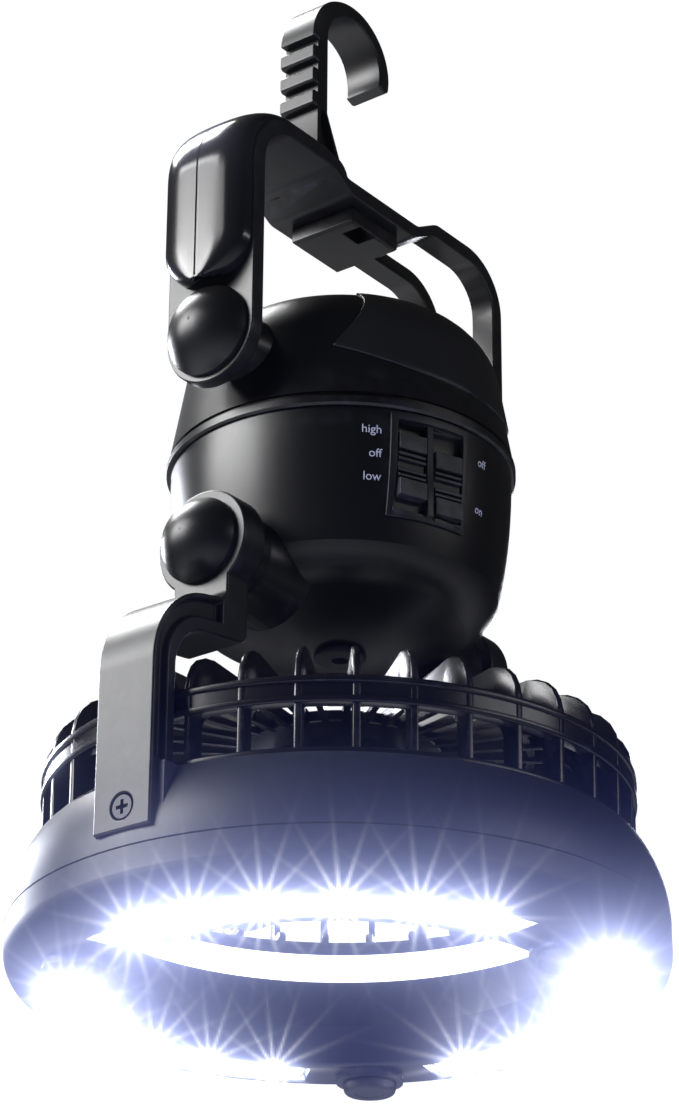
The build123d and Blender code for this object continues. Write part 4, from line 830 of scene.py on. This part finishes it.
# ------------------------------------------------------------------ feet
class FAN_OT_feet(Operator):
    """Turns the three rubber feet, each with a shallow dish"""
    bl_idname = "camping_fan.feet"
    bl_label = "Rubber feet"
    radius: FloatProperty(name="Radius", description="Of one foot", subtype="DISTANCE", unit="LENGTH",
                          default=6.6 * MM)

    def execute(self, context):
        low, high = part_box("foot_2")
        # the radius in millimetres, as eased takes it, and the radius of the ring of feet
        r, ring = self.radius / MM, -(low.y + high.y) / 2
        bm = bmesh.new()
        add_lathe(bm, eased([(0, 0.45, 0), (3.2, 0.45, 0.3), (3.7, 0, 0.3), (r - 0.4, 0, 1.3), (r, 2.7, 0.3),
                             (5.15, 2.78, 0), (5.15, 8.1, 0.4), (0, 8.1, 0)], 4), 48)
        merged(bm)
        bmesh.ops.translate(bm, verts=bm.verts, vec=(ring, 0, 0))
        mesh = polar_array(mesh_from(bm, "foot"), "foot_rubber", 3, 2 * pi / 3, pi / 6)
        piece("rubber_feet", mesh, "foot_rubber", "head", "foot_rubber", "foot_1", "foot_2", "foot_3")
        return {"FINISHED"}


# ------------------------------------------------------------------ legends
# word, angle of its near edge in degrees, height of its middle in millimetres, and its alignment
LEGENDS = [
    ("high", -129.5, 130.0, "RIGHT"),
    ("off", -129.5, 124.0, "RIGHT"),
    ("low", -129.5, 118.2, "RIGHT"),
    ("off", -91.5, 129.0, "LEFT"),
    ("on", -91.5, 117.0, "LEFT"),
]


class FAN_OT_legends(Operator):
    """Prints the switch legends onto the barrel"""
    bl_idname = "camping_fan.legends"
    bl_label = "Switch legends"
    height: FloatProperty(name="Height", description="Size of the letters", subtype="DISTANCE", unit="LENGTH",
                          default=3.0 * MM, min=0.5 * MM, max=20 * MM)
    film: FloatProperty(name="Film", description="How thick the ink stands", subtype="DISTANCE",
                        unit="LENGTH", default=0.06 * MM, min=0.01 * MM, max=1 * MM)

    def execute(self, context):
        barrel = NODES["barrel"].data
        skin = BVHTree.FromPolygons([v.co for v in barrel.vertices], [p.vertices for p in barrel.polygons])
        bm = bmesh.new()
        for words, angle, z, side in LEGENDS:
            self.print_word(bm, skin, words, angle, z * MM, side)
        mesh = mesh_from(bm, "legends", smooth=False)
        piece("switch_legends", mesh, "legend_ink", "battery_body", "shell_plastic")
        return {"FINISHED"}

    def print_word(self, bm, skin, words, angle, z, side):
        """One word wrapped round the barrel, its near edge at an angle and its middle at a height."""
        curve = bpy.data.curves.new("legend", "FONT")
        curve.body = words
        curve.size = self.height
        curve.align_x = side
        curve.align_y = "CENTER"
        curve.resolution_u = 4
        curve.extrude = self.film
        flat = link(bpy.data.objects.new("legend", curve))
        bpy.context.view_layer.update()
        mesh = bpy.data.meshes.new_from_object(flat.evaluated_get(bpy.context.evaluated_depsgraph_get()))
        bpy.data.objects.remove(flat)
        part = bmesh.new()
        part.from_mesh(mesh)
        long = [e for e in part.edges if e.calc_length() > self.height / 3]
        bmesh.ops.subdivide_edges(part, edges=long, cuts=2)
        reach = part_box("barrel")[1].y
        for vert in part.verts:
            turn = radians(angle) + vert.co.x / reach
            out = Vector((cos(turn), sin(turn), 0))
            hit = skin.ray_cast(out * 2 * reach + Vector((0, 0, z + vert.co.y)), -out)[0]
            vert.co = hit + out * (vert.co.z + self.film * 0.5)
        part.to_mesh(mesh)
        part.free()
        bm.from_mesh(mesh)
        bpy.data.meshes.remove(mesh)


# ------------------------------------------------------------------ lamps
class FAN_OT_lamps(Operator):
    """Adds the bright core of each lamp, as it shows in the window"""
    bl_idname = "camping_fan.lamps"
    bl_label = "Lamp chips"
    arcs: IntProperty(name="Arcs", description="Light windows", default=3, min=1, max=6)
    lamps: IntProperty(name="Lamps", description="Lamps in one window", default=6, min=1, max=20)
    span: FloatProperty(name="Span", description="Angle of one window", subtype="ANGLE", default=radians(92))
    chip: FloatProperty(name="Chip", description="Radius of a chip", subtype="DISTANCE", unit="LENGTH",
                        default=0.40 * MM, min=0.1 * MM, max=3 * MM)
    inset: FloatProperty(name="Inset", description="From the board's rim to the ring of chips",
                         subtype="DISTANCE", unit="LENGTH", default=7.3 * MM)

    def execute(self, context):
        low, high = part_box("lens_1")
        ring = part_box("led_board")[1].x - self.inset
        bm = bmesh.new()
        bmesh.ops.create_uvsphere(bm, u_segments=12, v_segments=8, radius=self.chip,
                                  matrix=Matrix.Translation((ring, 0, (low.z + high.z) / 2)))
        step = self.span / self.lamps
        mesh = polar_array(mesh_from(bm, "chip"), "lit_chip", self.arcs * self.lamps, step,
                           pi / 2 - self.span / 2 + step / 2, self.lamps, 2 * pi / self.arcs)
        piece("lamp_chips", mesh, "lit_chip", "head", "led_epoxy")
        return {"FINISHED"}


# ------------------------------------------------------------------ stage
WHITE = (1, 1, 1)
# name, place, target, width and height, watts, and colour
LIGHTS = [
    ("hook_box", (-0.788, 0.616, 0.90), (0, 0, 0.90), (0.68, 0.12), 3.1, WHITE),
    ("pad_box", (-0.856, 0.517, 0.755), (0, 0, 0.755), (0.96, 0.15), 2.4, WHITE),
    ("arm_box", (-0.788, 0.616, 0.685), (0, 0, 0.685), (0.60, 0.045), 2.0, WHITE),
    ("barrel_box", (-0.788, 0.616, 0.565), (0, 0, 0.565), (0.72, 0.18), 6.3, WHITE),
    ("low_box", (-0.788, 0.616, 0.39), (0, 0, 0.39), (0.68, 0.17), 2.9, WHITE),
    ("rim_left_box", (0.25, 1.00, 0.45), (-0.06, 0, 0.03), (0.30, 0.24), 6.0, (0.90, 0.92, 1.0)),
    ("rim_right_box", (0.98, 0.45, 0.40), (0.05, 0, 0.05), (0.16, 0.26), 2.0, (0.90, 0.92, 1.0)),
    ("band_box", (0.242, -0.970, 0.43), (0, 0, 0.43), (0.66, 0.07), 1.0, WHITE),
    ("cap_box", (0.05, 0.95, 1.40), (-0.05, 0, 0.13), (0.60, 0.60), 26.0, WHITE),
    ("lamp_spill", (-0.16, -0.13, -0.10), (-0.03, -0.02, 0.02), (0.20, 0.20), 0.5, (0.30, 0.38, 1.0)),
]
# kind of glare, and its settings
GLARES = [
    ("STREAKS", {"Threshold": 20.0, "Strength": 0.22, "Streaks": 15, "Streaks Angle": 0.2, "Iterations": 4,
                 "Fade": 0.90, "Color Modulation": 0.0}),
    ("BLOOM", {"Threshold": 3.0, "Strength": 0.80, "Size": 0.20, "Tint": (0.92, 0.94, 1.0, 1)}),
    ("BLOOM", {"Threshold": 1.0, "Strength": 0.22, "Size": 0.35, "Tint": (0.80, 0.85, 1.0, 1)}),
    ("BLOOM", {"Threshold": 2.0, "Strength": 0.30, "Size": 0.72, "Tint": (0.10, 0.18, 1.0, 1)}),
]


def area_light(name, place, target, size, power, colour):
    """A soft rectangular light aimed at a point."""
    data = bpy.data.lights.new(name, "AREA")
    data.shape = "RECTANGLE"
    data.size, data.size_y = size
    data.energy = power
    data.color = colour
    obj = link(bpy.data.objects.new(name, data))
    obj.location = place
    aim = Vector(target) - Vector(place)
    obj.rotation_euler = aim.to_track_quat("-Z", "Y").to_euler()
    obj.visible_camera = False
    return obj


class FAN_OT_stage(Operator):
    """Camera, pale floor, white surround, soft lights and the glow of the lamps"""
    bl_idname = "camping_fan.stage"
    bl_label = "Stage"

    def execute(self, context):
        scene = context.scene
        stage = scene.fan_stage
        self.camera(scene, stage)
        self.surround(scene, stage)
        self.lights()
        self.glow(scene)
        return {"FINISHED"}

    def camera(self, scene, stage):
        """The camera looks up at the hanging fan."""
        data = bpy.data.cameras.new("camera")
        data.lens = stage.lens
        obj = link(bpy.data.objects.new("camera", data))
        level = Vector(stage.heading).normalized()
        view = level * cos(stage.rise) + Vector((0, 0, sin(stage.rise)))
        turn = view.to_track_quat("-Z", "Y").to_matrix() @ Matrix.Rotation(stage.roll, 3, "Z")
        obj.matrix_world = Matrix.Translation(stage.eye) @ turn.to_4x4()
        scene.camera = obj

    def surround(self, scene, stage):
        """White behind the fan, a dim room for its reflections, and a pale floor below."""
        world = bpy.data.worlds.new("surround")
        scene.world = world
        world.use_nodes = True
        tree = world.node_tree
        tree.nodes.clear()
        mix = add(tree, "ShaderNodeMixShader", Fac=add(tree, "ShaderNodeLightPath").outputs["Is Camera Ray"])
        for socket, strength in zip(mix.inputs[1:], (stage.room, 1.0)):
            white = add(tree, "ShaderNodeBackground", Color=(1, 1, 1, 1), Strength=strength)
            tree.links.new(white.outputs[0], socket)
        add(tree, "ShaderNodeOutputWorld", Surface=mix.outputs[0])
        scene.view_settings.view_transform = "Standard"
        bm = bmesh.new()
        bmesh.ops.create_grid(bm, x_segments=8, y_segments=8, size=stage.floor_size)
        bmesh.ops.translate(bm, verts=bm.verts, vec=(0, 0, -stage.floor_drop))
        floor = bpy.data.meshes.new("floor")
        bm.to_mesh(floor)
        bm.free()
        material, _, shader = blank_material("pale_floor")
        shader["Base Color"].default_value = (0.80, 0.80, 0.81, 1)
        shader["Roughness"].default_value = 0.8
        floor.materials.append(material)
        link(bpy.data.objects.new("floor", floor))

    def lights(self):
        """Softboxes for the highlights and cool light for the glow round the lamps."""
        for name, place, target, size, power, colour in LIGHTS:
            area_light(name, place, target, size, power, colour).visible_glossy = name != "lamp_spill"

    def glow(self, scene):
        """Soft halo and fine rays round the lamps."""
        scene.use_nodes = True
        tree = scene.node_tree
        tree.nodes.clear()
        source = tree.nodes.new("CompositorNodeRLayers")
        out = tree.nodes.new("CompositorNodeComposite")
        last = source.outputs["Image"]
        for kind, settings in GLARES:
            node = tree.nodes.new("CompositorNodeGlare")
            node.glare_type = kind
            for label, value in settings.items():
                node.inputs[label].default_value = value
            tree.links.new(last, node.inputs["Image"])
            last = node.outputs["Image"]
        tree.links.new(last, out.inputs["Image"])


# ------------------------------------------------------------------ panel and run
STEPS = (FAN_OT_materials, FAN_OT_rounded, FAN_OT_hook, FAN_OT_grip, FAN_OT_badge, FAN_OT_cage,
         FAN_OT_feet, FAN_OT_legends, FAN_OT_lamps, FAN_OT_stage)


class FAN_PT_sidebar(Panel):
    """Buttons for each group of pieces"""
    bl_idname = "FAN_PT_sidebar"
    bl_label = "Camping Fan"
    bl_space_type = "VIEW_3D"
    bl_region_type = "UI"
    bl_category = "Camping Fan"

    def draw(self, context):
        for step in STEPS:
            self.layout.operator(step.bl_idname)


CLASSES = (FinishSettings, StageSettings, *STEPS, FAN_PT_sidebar)


def register():
    """Registers the classes and the settings that they read."""
    for cls in CLASSES:
        bpy.utils.register_class(cls)
    bpy.types.Scene.fan_finish = PointerProperty(type=FinishSettings)
    bpy.types.Scene.fan_stage = PointerProperty(type=StageSettings)


def unregister():
    """Takes the settings and the classes away again."""
    del bpy.types.Scene.fan_stage
    del bpy.types.Scene.fan_finish
    for cls in reversed(CLASSES):
        bpy.utils.unregister_class(cls)


def main():
    """Builds every piece in order."""
    register()
    bpy.ops.camping_fan.materials()
    bpy.ops.camping_fan.rounded()
    bpy.ops.camping_fan.hook()
    bpy.ops.camping_fan.grip()
    bpy.ops.camping_fan.badge()
    bpy.ops.camping_fan.cage()
    bpy.ops.camping_fan.feet()
    bpy.ops.camping_fan.legends()
    bpy.ops.camping_fan.lamps()
    bpy.ops.camping_fan.stage()


if __name__ == "__main__":
    main()
